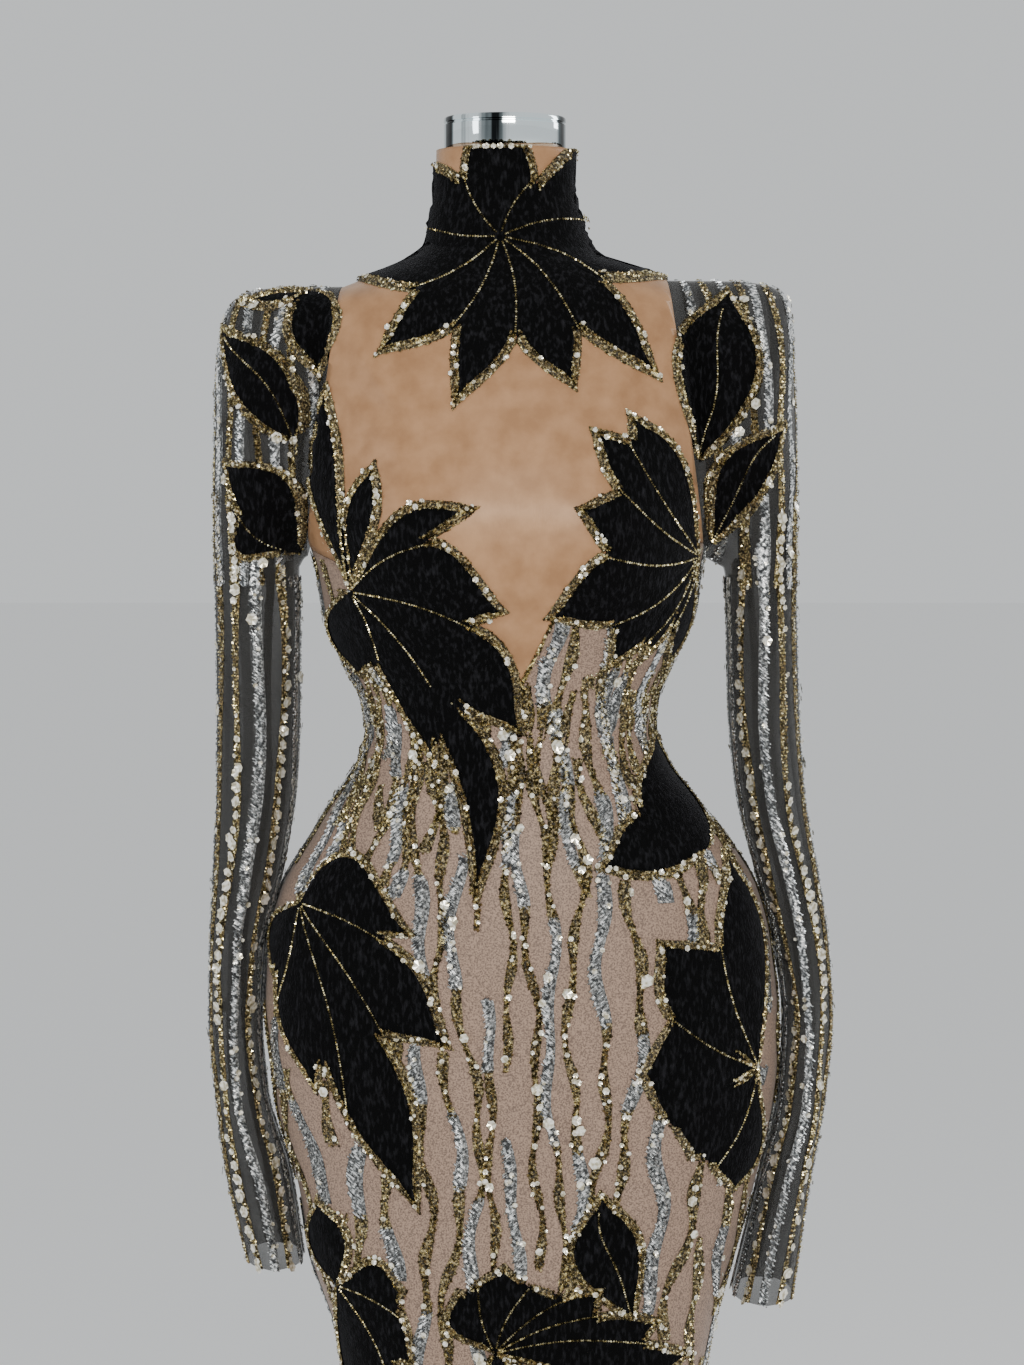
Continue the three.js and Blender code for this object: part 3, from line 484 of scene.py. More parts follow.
def body_net_material():
    """Fine dark net on its nude lining, so closely mounted that nothing shows through."""
    material, shader = new_material("body_net", (0.36, 0.24, 0.17), 0.6)
    grain = object_noise(material, 900, 1)
    colour_from(material, shader, grain, [(0.36, (0.15, 0.098, 0.072)), (0.60, (0.34, 0.228, 0.165))])
    bump_from(material, shader, grain.outputs["Fac"], 0.2, 0.0004)
    shader.inputs["Sheen Weight"].default_value = 0.12
    return material


def sleeve_net_material():
    material, shader = new_material("sleeve_net", (0.02, 0.02, 0.019), 0.75)
    grain = object_noise(material, 1400, 1)
    colour_from(material, shader, grain, [(0.35, (0.010, 0.010, 0.010)), (0.65, (0.038, 0.037, 0.034))])
    # Upright patches where the net is less see-through stand for its folds: partly doubled net, partly
    # painted shade in the folds.
    fold_patches = object_noise(material, 22, 3, (1, 1, 0.3))
    spread = add_node(material, "ShaderNodeMapRange")
    spread.inputs["From Min"].default_value = 0.35
    spread.inputs["From Max"].default_value = 0.65
    spread.inputs["To Min"].default_value = 0.46
    spread.inputs["To Max"].default_value = 0.70
    links = material.node_tree.links
    links.new(fold_patches.outputs["Fac"], spread.inputs["Value"])
    links.new(spread.outputs["Result"], shader.inputs["Alpha"])
    shader.inputs["Sheen Weight"].default_value = 0.15
    return material


def velvet_material():
    material, shader = new_material("black_velvet", (0.006, 0.006, 0.008), 0.95)
    # The lighter streaks of its colour along the nap are painted sheen of the pile.
    painted_nap_sheen = object_noise(material, 420, 6, (1, 1, 0.35))
    colour_from(material, shader, painted_nap_sheen, [
        (0.50, (0.0010, 0.0010, 0.0012)), (0.78, (0.016, 0.016, 0.019))])
    pile = object_noise(material, 900, 3, (1, 1, 0.5))
    bump_from(material, shader, pile.outputs["Fac"], 0.8, 0.0012)
    shader.inputs["Sheen Weight"].default_value = 0.14
    shader.inputs["Sheen Roughness"].default_value = 0.3
    shader.inputs["Sheen Tint"].default_value = (0.36, 0.37, 0.42, 1)
    shader.inputs["Specular IOR Level"].default_value = 0.1
    return material


def bead_material(name, stops, roughness, metallic=0.85):
    material, shader = new_material(name, stops[0][1], roughness, metallic)
    # The colour runs from near black to near white over the beads: painted glints and painted dark
    # reflections.
    painted_glint = object_noise(material, 420, 0)
    colour_from(material, shader, painted_glint, stops)
    return material


def bed_material(name, stops):
    """Close rows of tiny beads, too small to see one by one."""
    material, shader = new_material(name, stops[0][1], 0.6, 0.35)
    # Its near-black specks are the gaps between the beads darkened with painted shade, and its bright
    # specks are painted glints.
    rows = object_noise(material, 620, 1)
    colour_from(material, shader, rows, stops)
    bump_from(material, shader, rows.outputs["Fac"], 0.9, 0.0012)
    return material


def chrome_material(name, low, high):
    """Polished metal with painted reflections: its upright dark and bright bands of colour stand for
    what a room shows in it.
    """
    material, shader = new_material(name, (0.60, 0.66, 0.67), 0.07, 1.0)
    reflection_bands_and_haze = object_noise(material, 62, 3, (1, 1, 0.02))
    colour_from(material, shader, reflection_bands_and_haze, [
        (0.41, (0.012, 0.014, 0.015)), (0.46, (0.20, 0.235, 0.245)), (0.55, (0.90, 0.98, 1.0))])
    spread = add_node(material, "ShaderNodeMapRange")
    spread.inputs["To Min"].default_value = low
    spread.inputs["To Max"].default_value = high
    links = material.node_tree.links
    links.new(reflection_bands_and_haze.outputs["Fac"], spread.inputs["Value"])
    links.new(spread.outputs["Result"], shader.inputs["Roughness"])
    return material


SATIN = satin_material()
FORM_COVER = form_material()
BODY_NET = body_net_material()
SLEEVE_NET = sleeve_net_material()
VELVET = velvet_material()
# The bead colours run from dark to bright within each kind: painted glints and painted dark reflections.
GOLD = bead_material("gold_beads", [
    (0.38, (0.07, 0.055, 0.022)), (0.52, (0.38, 0.31, 0.13)), (0.68, (1.0, 0.92, 0.62))], 0.22)
BRONZE = bead_material("bronze_beads", [
    (0.38, (0.035, 0.026, 0.012)), (0.64, (0.30, 0.22, 0.10))], 0.3)
SILVER = bead_material("silver_bugles", [
    (0.36, (0.16, 0.165, 0.17)), (0.50, (0.60, 0.62, 0.62)), (0.64, (1.0, 1.0, 1.0))], 0.2)
PEARL = bead_material("sequins", [
    (0.34, (0.50, 0.45, 0.32)), (0.52, (0.85, 0.80, 0.66)), (0.68, (1.0, 0.98, 0.90))], 0.2, 0.6)
# The bed colours run from near black to bright: painted shade between the beads and painted glints on
# them.
GOLD_BED = bed_material("gold_bed", [
    (0.40, (0.012, 0.009, 0.005)), (0.54, (0.12, 0.09, 0.04)), (0.70, (0.42, 0.34, 0.18))])
SILVER_BED = bed_material("silver_bed", [
    (0.36, (0.03, 0.031, 0.032)), (0.54, (0.17, 0.175, 0.175)), (0.70, (0.45, 0.46, 0.46))])
CHROME = chrome_material("chrome", 0.03, 0.10)
STEEL = chrome_material("satin_steel", 0.22, 0.34)


# Making pieces

def link_piece(name, mesh, material, node=None):
    mesh.materials.append(material)
    piece = bpy.data.objects.new(name, mesh)
    bpy.context.scene.collection.objects.link(piece)
    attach(piece, "gown")
    if node:
        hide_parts(node)
    return piece


def finish_mesh(name, bm, material, node=None):
    mesh = bpy.data.meshes.new(name)
    bm.to_mesh(mesh)
    bm.free()
    mesh.polygons.foreach_set("use_smooth", [True] * len(mesh.polygons))
    return link_piece(name, mesh, material, node)


def grid_on(columns, rows, place):
    """A grid whose corners run 0 to 1 both ways, laid on a surface by place(u, v)."""
    bm = bmesh.new()
    bmesh.ops.create_grid(bm, x_segments=columns, y_segments=rows, size=0.5)
    spots = np.array([v.co[:2] for v in bm.verts]) + 0.5
    for vert, point in zip(bm.verts, place(spots[:, 0], spots[:, 1]) * MM):
        vert.co = point
    return bm


def shell(piece, thick, even=True):
    wall = piece.modifiers.new("thickness", "SOLIDIFY")
    wall.thickness = thick * MM
    wall.offset = -1
    wall.use_even_offset = even


def cut_beside_armhole(bm, side, gap, low_z, keep_body):
    """Cuts a piece along the armhole's slanted plane above low_z and keeps one side of it."""
    (top_x, top_z), (bottom_x, bottom_z) = ARMHOLE_TOP, ARMHOLE_LOW
    point = Vector((side * (top_x + gap), 0, top_z)) * MM
    outward = Vector((side * (top_z - bottom_z), 0, bottom_x - top_x)).normalized()
    faces = [f for f in bm.faces if f.calc_center_median().z > low_z * MM]
    parts = list({v for f in faces for v in f.verts}) + list({e for f in faces for e in f.edges})
    normal = outward if keep_body else -outward
    bmesh.ops.bisect_plane(bm, geom=parts + faces, plane_co=point, plane_no=normal, clear_outer=True)


def body_panel(node, turns, lows, highs, columns, rows, material, crowd=1.0):
    """A panel between two turns, from lows(turn) up to highs(turn); crowd gathers rows upwards."""
    def place(u, v):
        turn = turns[0] + (turns[1] - turns[0]) * u
        low, high = lows(turn), highs(turn)
        return body_at(turn, low + (high - low) * (1 - (1 - v) ** crowd), 0)
    bm = grid_on(columns, rows, place)
    for side in (-1, 1):
        cut_beside_armhole(bm, side, -SEAM / 2, ARMHOLE_LOW[1] - CUT_BELOW, True)
    piece = finish_mesh(f"cloth_{node}", bm, material, node)
    shell(piece, CLOTH_THICK)


def level(z):
    return lambda turn: np.full(np.shape(turn), float(z))


def make_body_cloth():
    top = level(COLLAR_SEAM_Z - SEAM)
    front = (-0.25 + PANEL_SEAM, 0.25 - PANEL_SEAM)
    body_panel("front", front, level(HEM_Z), lambda t: v_edge(t) - SEAM, 84, 150, BODY_NET)
    body_panel("yoke_front", front, lambda t: v_edge(t) + SEAM, top, 84, 70, SATIN, 1.6)
    for side, turns in (("left", (0.25, 0.5)), ("right", (0.5, 0.75))):
        span = (turns[0] + PANEL_SEAM, turns[1] - PANEL_SEAM)
        body_panel(f"back_{side}", span, level(HEM_Z), level(YOKE_BACK_Z - SEAM),
                   42, 150, BODY_NET)
        body_panel(f"yoke_back_{side}", span, level(YOKE_BACK_Z + SEAM), top,
                   42, 50, SATIN, 1.6)


def make_collar():
    def place(u, v):
        turn = 0.5 + COLLAR_SLIT + (1 - 2 * COLLAR_SLIT) * u
        return body_at(turn, COLLAR_SEAM_Z + (COLLAR_TOP_Z - COLLAR_SEAM_Z) * v, 0)
    piece = finish_mesh("cloth_collar", grid_on(120, 20, place), SATIN, "collar")
    shell(piece, COLLAR_THICK)


def make_sleeve(name):
    side, rows = SLEEVES[name]
    last = len(rows) - 1

    def place(u, v):
        along = last * v if side > 0 else last * (1 - v)
        return sleeve_at(name, u, along, 0)
    bm = grid_on(72, 110, place)
    bmesh.ops.remove_doubles(bm, verts=bm.verts, dist=0.0002)
    cut_beside_armhole(bm, side, SEAM / 2, ARMHOLE_LOW[1] - 4, False)
    piece = finish_mesh(f"cloth_{name}", bm, SLEEVE_NET, name)
    shell(piece, CLOTH_THICK)


FORM_BESIDE_ARM = 3
RIM_TALL, RIM_INSET = 14, 6


def make_form():
    low, high = RIM_Z, COLLAR_TOP_Z + 0.5

    def place(u, v):
        rim = np.clip(1 - v * (high - low) / RIM_TALL, 0, 1)
        return body_at(u, low + (high - low) * v, -(FORM_INSET + RIM_INSET * rim ** 2), False)
    bm = grid_on(96, 120, place)
    bmesh.ops.remove_doubles(bm, verts=bm.verts, dist=0.0003)
    for side in (-1, 1):
        cut_beside_armhole(bm, side, -FORM_BESIDE_ARM, ARMHOLE_LOW[1] - CUT_BELOW, True)
    bmesh.ops.holes_fill(bm, edges=[e for e in bm.edges if e.is_boundary], sides=0)
    bmesh.ops.recalc_face_normals(bm, faces=bm.faces)
    finish_mesh("padded_form", bm, FORM_COVER, "form_body")


# The form's turned metal: radius and height from the axis at the bottom to the axis on top
TURNED = {
    "neck_cap": [
        (0, 1469.8), (41.6, 1469.8), (42.3, 1470.6), (42.3, 1486.4), (41.5, 1487.0), (41.5, 1487.8),
        (42.4, 1488.4), (42.4, 1490.6), (41.6, 1491.7), (40.4, 1492.0), (38.8, 1491.4), (0, 1490.8)],
    "form_plate": [(0, 660.7), (69, 660.7), (70, 661.7), (70, 667.7), (69, 668.7), (0, 668.7)],
    "stand_pole": [(0, 46.3), (12.5, 46.3), (12.5, 660.4), (0, 660.4)],
    "stand_base": [
        (0, 0), (168.5, 0), (170, 1.5), (170, 5), (168, 6.6), (120, 9.0), (60, 12.2), (30, 14.2),
        (22, 16.4), (20, 20), (20, 44.5), (18.5, 46), (0, 46)],
}
METALS = {"neck_cap": (CHROME, "chrome"), "form_plate": (STEEL, "stand_steel"),
          "stand_pole": (STEEL, "stand_steel"), "stand_base": (STEEL, "stand_steel")}
SHARP_FROM = 50  # degrees between faces from which an edge of the metal shows as sharp


def make_turned(node):
    material, slot = METALS[node]
    bm = bmesh.new()
    verts = [bm.verts.new((r * MM, 0, z * MM)) for r, z in TURNED[node]]
    edges = [bm.edges.new(pair) for pair in zip(verts, verts[1:])]
    bmesh.ops.spin(bm, geom=verts + edges, axis=(0, 0, 1), cent=(0, 0, 0), angle=TAU, steps=96,
                   use_merge=True)
    bmesh.ops.remove_doubles(bm, verts=bm.verts, dist=0.00001)
    bmesh.ops.recalc_face_normals(bm, faces=bm.faces)
    piece = finish_mesh(f"turned_{node}", bm, material, node)
    sharp = piece.modifiers.new("soft_edges", "EDGE_SPLIT")
    sharp.split_angle = math.radians(SHARP_FROM)


# Beads, as joined meshes of one small shape. They lie on the cloth, so they have no underside.

def dome_shape():
    rim = [(math.cos(a), math.sin(a), 0) for a in (0, TAU / 4, TAU / 2, 3 * TAU / 4)]
    return np.array(rim + [(0, 0, 1)]), [(i, (i + 1) % 4, 4) for i in range(4)]


def bugle_shape():
    points = [(-1, -1, 0), (1, -1, 0), (1, 1, 0), (-1, 1, 0), (-0.92, 0, 1), (0.92, 0, 1)]
    return np.array(points, float), [(0, 1, 5, 4), (2, 3, 4, 5), (3, 0, 4), (1, 2, 5)]


def sequin_shape(petals=6):
    """A cupped disc with a scalloped rim."""
    rim = [(math.cos(a), math.sin(a)) for a in np.linspace(0, TAU, 2 * petals, endpoint=False)]
    points = [(0, 0, 0.05)]
    for i, (x, y) in enumerate(rim):
        reach, rise = (1.0, 0.30) if i % 2 else (0.86, 0.16)
        points.append((x * reach, y * reach, rise))
    faces = [(0, 1 + i, 1 + (i + 1) % len(rim)) for i in range(len(rim))]
    return np.array(points), faces


DOME = dome_shape()
BUGLE = bugle_shape()
SEQUIN = sequin_shape()

# Each kind of bead: its shape, half sizes, material and how much the sizes vary
BEAD_KINDS = {
    "gold": (DOME, (1.15, 1.15, 1.15), GOLD, 0.25),
    "bronze": (DOME, (1.15, 1.15, 1.1), BRONZE, 0.25),
    "vein": (DOME, (0.95, 0.95, 1.0), GOLD, 0.15),
    "silver": (BUGLE, (2.2, 0.62, 0.8), SILVER, 0.15),
    "spangle": (SEQUIN, (1.8, 1.8, 1.8), PEARL, 0.3),
    "paillette": (SEQUIN, (3.6, 3.6, 2.2), PEARL, 0.3),
}
MOST_BEADS = 15000
bead_store = {kind: [] for kind in BEAD_KINDS}


def add_beads(kind, places, normals, alongs=None):
    if alongs is None:
        alongs = chance.normal(size=places.shape)
    bead_store[kind].append(np.stack([places, normals, alongs]))


def scatter(name, shape, places, normals, alongs, sizes, material):
    """One joined mesh with a copy of a small shape at each place, turned to its normal."""
    points, faces = shape
    z_axis = unit(normals)
    x_axis = unit(alongs - z_axis * np.sum(alongs * z_axis, axis=1, keepdims=True))
    turn = np.stack([x_axis, np.cross(z_axis, x_axis), z_axis], axis=1)
    local = points[None, :, :] * sizes[:, None, :]
    verts = (np.einsum("nij,njk->nik", local, turn) + places[:, None, :]) * MM
    count = len(points)
    all_faces = [tuple(i * count + k for k in face) for i in range(len(verts)) for face in faces]
    mesh = bpy.data.meshes.new(name)
    mesh.from_pydata(verts.reshape(-1, 3).tolist(), [], all_faces)
    link_piece(name, mesh, material)


def make_beads():
    for kind, (shape, size, material, spread) in BEAD_KINDS.items():
        places, normals, alongs = np.concatenate(bead_store[kind], axis=1)
        sizes = np.array(size) * chance.uniform(1 - spread, 1 + spread, len(places))[:, None]
        for number, start in enumerate(range(0, len(places), MOST_BEADS)):
            some = slice(start, start + MOST_BEADS)
            scatter(f"beads_{kind}_{number + 1}", shape, places[some], normals[some], alongs[some],
                    sizes[some], material)


def make_bed(name, strips, material):
    """Joined ribbons under the beads; a strip is an array of rows of points with nan for gaps."""
    bm = bmesh.new()
    for strip in strips:
        rows = [[None if np.isnan(p).any() else bm.verts.new(p * MM) for p in row] for row in strip]
        for low, high in zip(rows, rows[1:]):
            for i in range(len(low) - 1):
                corners = [low[i], low[i + 1], high[i + 1], high[i]]
                if all(corners):
                    bm.faces.new(corners)
    loose = [v for v in bm.verts if not v.link_faces]
    bmesh.ops.delete(bm, geom=loose, context="VERTS")
    finish_mesh(name, bm, material)


# Leaves

def view_axes(facing):
    angle = math.radians(facing)
    right = np.array([math.cos(angle), math.sin(angle), 0])
    toward = np.array([math.sin(angle), -math.cos(angle), 0])
    return right, toward


def leaf_spot(hub, leaf, share, side, grow=0.0):
    """A place in the spray's view: share runs from hub to tip, side from -1 to 1 across."""
    turn, length, left, right, full = leaf
    angle = math.radians(turn)
    share, side = np.asarray(share, float), np.asarray(side, float)
    inside = np.clip(share, 0, 1)
    belly = np.maximum(0, np.sin(math.pi * inside ** (math.log(0.5) / math.log(full))))
    belly = belly ** (0.75 + 0.5 * inside)
    half = right * (1 + side) / 2 - left * (1 - side) / 2
    sideways = half * belly + side * grow * np.minimum(1, 3 * belly)
    reach = (length + grow * inside ** 7) * share
    across = hub[0] + reach * math.sin(angle) + sideways * math.cos(angle)
    up = hub[1] + reach * math.cos(angle) - sideways * math.sin(angle)
    return np.stack([across, up], axis=-1)


def leaf_polygon(hub, leaf, grow=0.0, steps=14):
    shares = np.linspace(0, 1, steps)
    right = leaf_spot(hub, leaf, shares, 1, grow)
    left = leaf_spot(hub, leaf, shares[-2:0:-1], -1, grow)
    return np.concatenate([right, left])


def inside_polygon(points, polygon):
    x, y = points[..., 0], points[..., 1]
    inside = np.zeros(x.shape, bool)
    for (x0, y0), (x1, y1) in zip(polygon, np.roll(polygon, -1, axis=0)):
        if y0 == y1:
            continue
        crosses = (y0 > y) != (y1 > y)
        inside ^= crosses & (x < (x1 - x0) * (y - y0) / (y1 - y0) + x0)
    return inside


def armhole_reach(points):
    """How far places lie beyond the armhole's plane, towards the sleeve."""
    (top_x, top_z), (low_x, low_z) = ARMHOLE_TOP, ARMHOLE_LOW
    slope = (low_x - top_x) / (top_z - low_z)
    return np.abs(points[..., 0]) - top_x - slope * (top_z - points[..., 2])


def skin_tree(place, columns, rows):
    bm = grid_on(columns, rows, place)
    bm.normal_update()
    tree = BVHTree.FromBMesh(bm)
    bm.free()
    return tree


def make_skins():
    def body_place(u, v):
        return body_at(u, HEM_Z + (COLLAR_TOP_Z - HEM_Z) * v, 0)
    skins = {"body": skin_tree(body_place, 160, 280)}
    for name, (_, rows) in SLEEVES.items():
        def sleeve_place(u, v, name=name, last=len(rows) - 1):
            return sleeve_at(name, u, last * v, 0)
        skins[name] = skin_tree(sleeve_place, 72, 110)
    return skins


SKINS = make_skins()
VIEW_FROM = 600
ARM_LAP = 2
TOP_EDGE = COLLAR_TOP_Z - 0.6


def hit_skin(skin, start, ray):
    """The nearest cloth along a ray. Near an armhole a leaf may run from body to sleeve."""
    near_arm = start[2] > ARMHOLE_LOW[1] * MM
    best = None
    for name in SKINS if near_arm else [skin]:
        place, normal, _, distance = SKINS[name].ray_cast(start, ray)
        if place is None:
            continue
        beyond = armhole_reach(np.array(place) / MM)
        if near_arm and (beyond > ARM_LAP if name == "body" else beyond < -ARM_LAP):
            continue
        if best is None or distance < best[0]:
            outward = normal if normal.dot(ray) < 0 else -normal
            best = (distance, np.array(place) / MM, np.array(outward))
    return best


def onto_skin(skin, facing, spots, hub=None):
    """Points of the cloth and its normals seen at these places of a view. Where a place misses
    the cloth it is drawn in towards the hub, or is nan when no hub is given."""
    right, toward = view_axes(facing)
    ray = Vector(-toward)
    places = np.full((len(spots), 3), np.nan)
    normals = np.full((len(spots), 3), np.nan)
    steps = (0, 0.05, 0.1, 0.15, 0.2, 0.3, 0.4, 0.5) if hub else (0,)
    for i, spot in enumerate(spots):
        for step in steps:
            across, up = spot + (np.array(hub) - spot) * step if step else spot
            start = Vector((right * across + toward * VIEW_FROM + (0, 0, min(up, TOP_EDGE))) * MM)
            found = hit_skin(skin, start, ray)
            if found:
                _, places[i], normals[i] = found
                break
    return places, normals


LEAF_ROWS, LEAF_COLUMNS = 26, 9
LEAF_LIFT, LEAF_STEP, LEAF_DOME = 0.9, 0.1, 0.9
BORDER_IN, BORDER_OUT = 4.0, 1.9
BORDER_ROWS, BORDER_SPACING, BORDER_STEP = 4, 1.55, 3.2
BORDER_GOLD, BORDER_SPANGLES = 0.62, 0.03  # shares of the border's beads
VEIN_SPACING, VEIN_BOW, VEIN_LEAST = 1.7, 0.07, 8
NOTCH_LEAST, NOTCH_MOST = 8, 75  # degrees between leaves that share a vein


def make_leaf_grid(bm, skin, facing, hub, leaf, lift):
    shares, sides = np.meshgrid(np.linspace(0, 1, LEAF_ROWS), np.linspace(-1, 1, LEAF_COLUMNS),
                                indexing="ij")
    spots = leaf_spot(hub, leaf, shares.ravel(), sides.ravel())
    places, normals = onto_skin(skin, facing, spots, hub)
    dome = LEAF_DOME * (1 - sides.ravel() ** 2)
    places = (places + normals * (lift + dome)[:, None]) * MM
    verts = [None if np.isnan(p[0]) else bm.verts.new(p) for p in places]
    for i in range(LEAF_ROWS - 1):
        for j in range(LEAF_COLUMNS - 1):
            k = i * LEAF_COLUMNS + j
            corners = [verts[k], verts[k + 1], verts[k + LEAF_COLUMNS + 1], verts[k + LEAF_COLUMNS]]
            if all(corners):
                bm.faces.new(corners)


def hidden_by_leaves(spots, hub, leaves, index, grown=1.4):
    covered = np.zeros(len(spots), bool)
    for k, other in enumerate(leaves):
        if k != index:
            covered |= inside_polygon(spots, leaf_polygon(hub, other, grown))
    return covered


def border_bed(skin, facing, hub, leaves, index, lift):
    """The ribbon of close beads along both edges of one leaf."""
    leaf = leaves[index]
    shares = np.linspace(0.03, 1.0, max(6, int(leaf[1] / BORDER_STEP)))
    strips = []
    for side in (-1, 1):
        columns = []
        middle = leaf_spot(hub, leaf, shares, side, -1.0)
        covered = hidden_by_leaves(middle, hub, leaves, index)
        for grow, rise in ((-BORDER_IN, 1.0), (-1.0, 1.6), (BORDER_OUT, 0.35)):
            places, normals = onto_skin(skin, facing, leaf_spot(hub, leaf, shares, side, grow))
            places = places + normals * (lift * (grow < 0) + rise)
            places[covered] = np.nan
            columns.append(places)
        strips.append(np.stack(columns if side > 0 else columns[::-1], axis=1)[::-1])
    return strips


def border_beads(skin, facing, hub, leaves, index, lift):
    leaf = leaves[index]
    shares = np.arange(0.02, 1.0, BORDER_SPACING / leaf[1])
    spots, rises = [], []
    for side in (-1, 1):
        for row in range(BORDER_ROWS):
            place = (row + chance.uniform(0, 1, len(shares))) / BORDER_ROWS
            grow = -BORDER_IN + (BORDER_IN + BORDER_OUT) * place
            spots.append(leaf_spot(hub, leaf, shares, side, grow))
            rises.append(np.where(grow < 0, lift + 1.2, 0.6))
    spots, rises = np.concatenate(spots), np.concatenate(rises)
    bare = ~hidden_by_leaves(spots, hub, leaves, index)
    places, normals = onto_skin(skin, facing, spots[bare])
    rises = rises[bare]
    seen = ~np.isnan(places[:, 0])
    places, normals = places[seen] + normals[seen] * rises[seen][:, None], normals[seen]
    golden = chance.uniform(size=len(places)) < BORDER_GOLD
    add_beads("gold", places[golden], normals[golden])
    add_beads("bronze", places[~golden], normals[~golden])
    some = chance.uniform(size=len(places)) < BORDER_SPANGLES
    tilt = chance.normal(size=(some.sum(), 3)) * 0.2
    add_beads("spangle", places[some] + normals[some] * 0.9, unit(normals[some] + tilt))


def vein_lines(hub, leaves):
    """Lines from the hub to the notches between neighbouring leaves, or up a lone leaf."""
    if len(leaves) == 1:
        shares = np.arange(0.02, 0.86, VEIN_SPACING / leaves[0][1])
        return [leaf_spot(hub, leaves[0], shares, 0.16 * np.sin(shares * 5))]
    lines = []
    ordered = sorted(leaves)
    for first, second in zip(ordered, ordered[1:] + ordered[:1]):
        gap = (second[0] - first[0]) % 360
        if gap > NOTCH_MOST or gap < NOTCH_LEAST:
            continue
        right_of_first, left_of_second = max(first[3], 0) + 4, max(second[2], 0) + 4
        toward_second = right_of_first / (right_of_first + left_of_second)
        angle = math.radians(first[0] + gap * toward_second)
        line = np.array([math.sin(angle), math.cos(angle)])
        reaches = np.arange(4, max(first[1], second[1]), VEIN_SPACING)
        spots = np.array(hub) + reaches[:, None] * line
        covered = inside_polygon(spots, leaf_polygon(hub, first))
        covered |= inside_polygon(spots, leaf_polygon(hub, second))
        end = len(reaches) if covered.all() else int(np.argmin(covered))
        if end < VEIN_LEAST:
            continue
        bow = VEIN_BOW * reaches[end - 1] * np.sin(np.pi * reaches[:end] / reaches[end - 1])
        lines.append(spots[:end] + bow[:, None] * np.array([-line[1], line[0]]))
    return lines


border_strips = []


def make_spray(name):
    skin, facing, across, up, leaves = SPRAYS[name]
    hub = (across, up)
    bm = bmesh.new()
    for i, leaf in enumerate(leaves):
        lift = LEAF_LIFT + LEAF_STEP * i
        make_leaf_grid(bm, skin, facing, hub, leaf, lift)
        border_strips.extend(border_bed(skin, facing, hub, leaves, i, lift))
        border_beads(skin, facing, hub, leaves, i, lift)
    bmesh.ops.remove_doubles(bm, verts=bm.verts, dist=0.00005)
    piece = finish_mesh(f"velvet_{name}", bm, VELVET, name)
    shell(piece, VELVET_THICK, False)
    top = LEAF_LIFT + LEAF_STEP * len(leaves) + LEAF_DOME
    for line in vein_lines(hub, leaves):
        places, normals = onto_skin(skin, facing, line)
        seen = ~np.isnan(places[:, 0])
        add_beads("vein", places[seen] + normals[seen] * top, normals[seen])


# Bead stripes down the net

BODY_STRIPES = 44
STRIPE_TOP_GAP = 3
STRIPE_PHASE = 2.39996
STRIPE_SWAYS = [(2.6, 11.5, 1), (5.0, 33, 2), (5, 90, 3)]  # reach, length and order of each sway
SWAY_GIRTH = 700  # below this girth the sway narrows no more
STRIPE_TOP_Z, SPARSE_BELOW_Z = 1212, 600
CLOSE, SPARSE = 1.9, 3.4  # spacing of the beads along a stripe
WAIST_LOW_Z, WAIST_HIGH_Z, WAIST_REACH = 985, 1112, 26
BEAD_ROWS = 3
BED_STEP = 4.0
BODY_BED_SIDES = ((-1, 0.25), (0, 0.75), (1, 0.25))  # across a ribbon and how far it lies out
BEAD_RISE = 0.6


def under_leaf(points, skin="body"):
    """Which points of this cloth a leaf covers. Above the armhole's foot any leaf may reach it."""
    covered = np.zeros(len(points), bool)
    for own, facing, across, up, leaves in SPRAYS.values():
        right, toward = view_axes(facing)
        spots = np.stack([points @ right, points[:, 2]], axis=-1)
        ahead = points @ toward > 15
        if own != skin:
            ahead &= points[:, 2] > ARMHOLE_LOW[1]
        for leaf in leaves:
            covered |= ahead & inside_polygon(spots, leaf_polygon((across, up), leaf, -0.5))
    return covered


def stripe_turn(index, z):
    phase = index * STRIPE_PHASE
    sway = sum(reach * np.sin(z / long + order * phase) for reach, long, order in STRIPE_SWAYS)
    return (index + 0.5) / BODY_STRIPES + sway / np.maximum(body_girth(z), SWAY_GIRTH)


def stripe_worked(index, z):
    """True where a stripe is worked; it stops for a few centimetres at uneven heights."""
    return np.sin(z / 61 + index * 1.7) + 0.6 * np.sin(z / 23 + index * 4.1) > -1.25


def silver_part(index, z):
    """True where a stripe turns from gold into a wider silver band."""
    often = -0.05 if index % 2 == 1 else 0.86
    return np.sin(z / 48 + index * 2.3) > often


def stripe_half_width(index, z, silver):
    gold = 3.3 + 1.2 * np.sin(z / 7.5 + index * 1.3)
    return np.where(silver, 4.6 + 0.7 * np.sin(z / 10), gold)


def stripe_top(turn):
    front = np.abs((turn + 0.5) % 1 - 0.5) < 0.25
    return np.where(front, v_edge(turn), YOKE_BACK_Z) - STRIPE_TOP_GAP


bed_strips = {"gold": [], "silver": []}


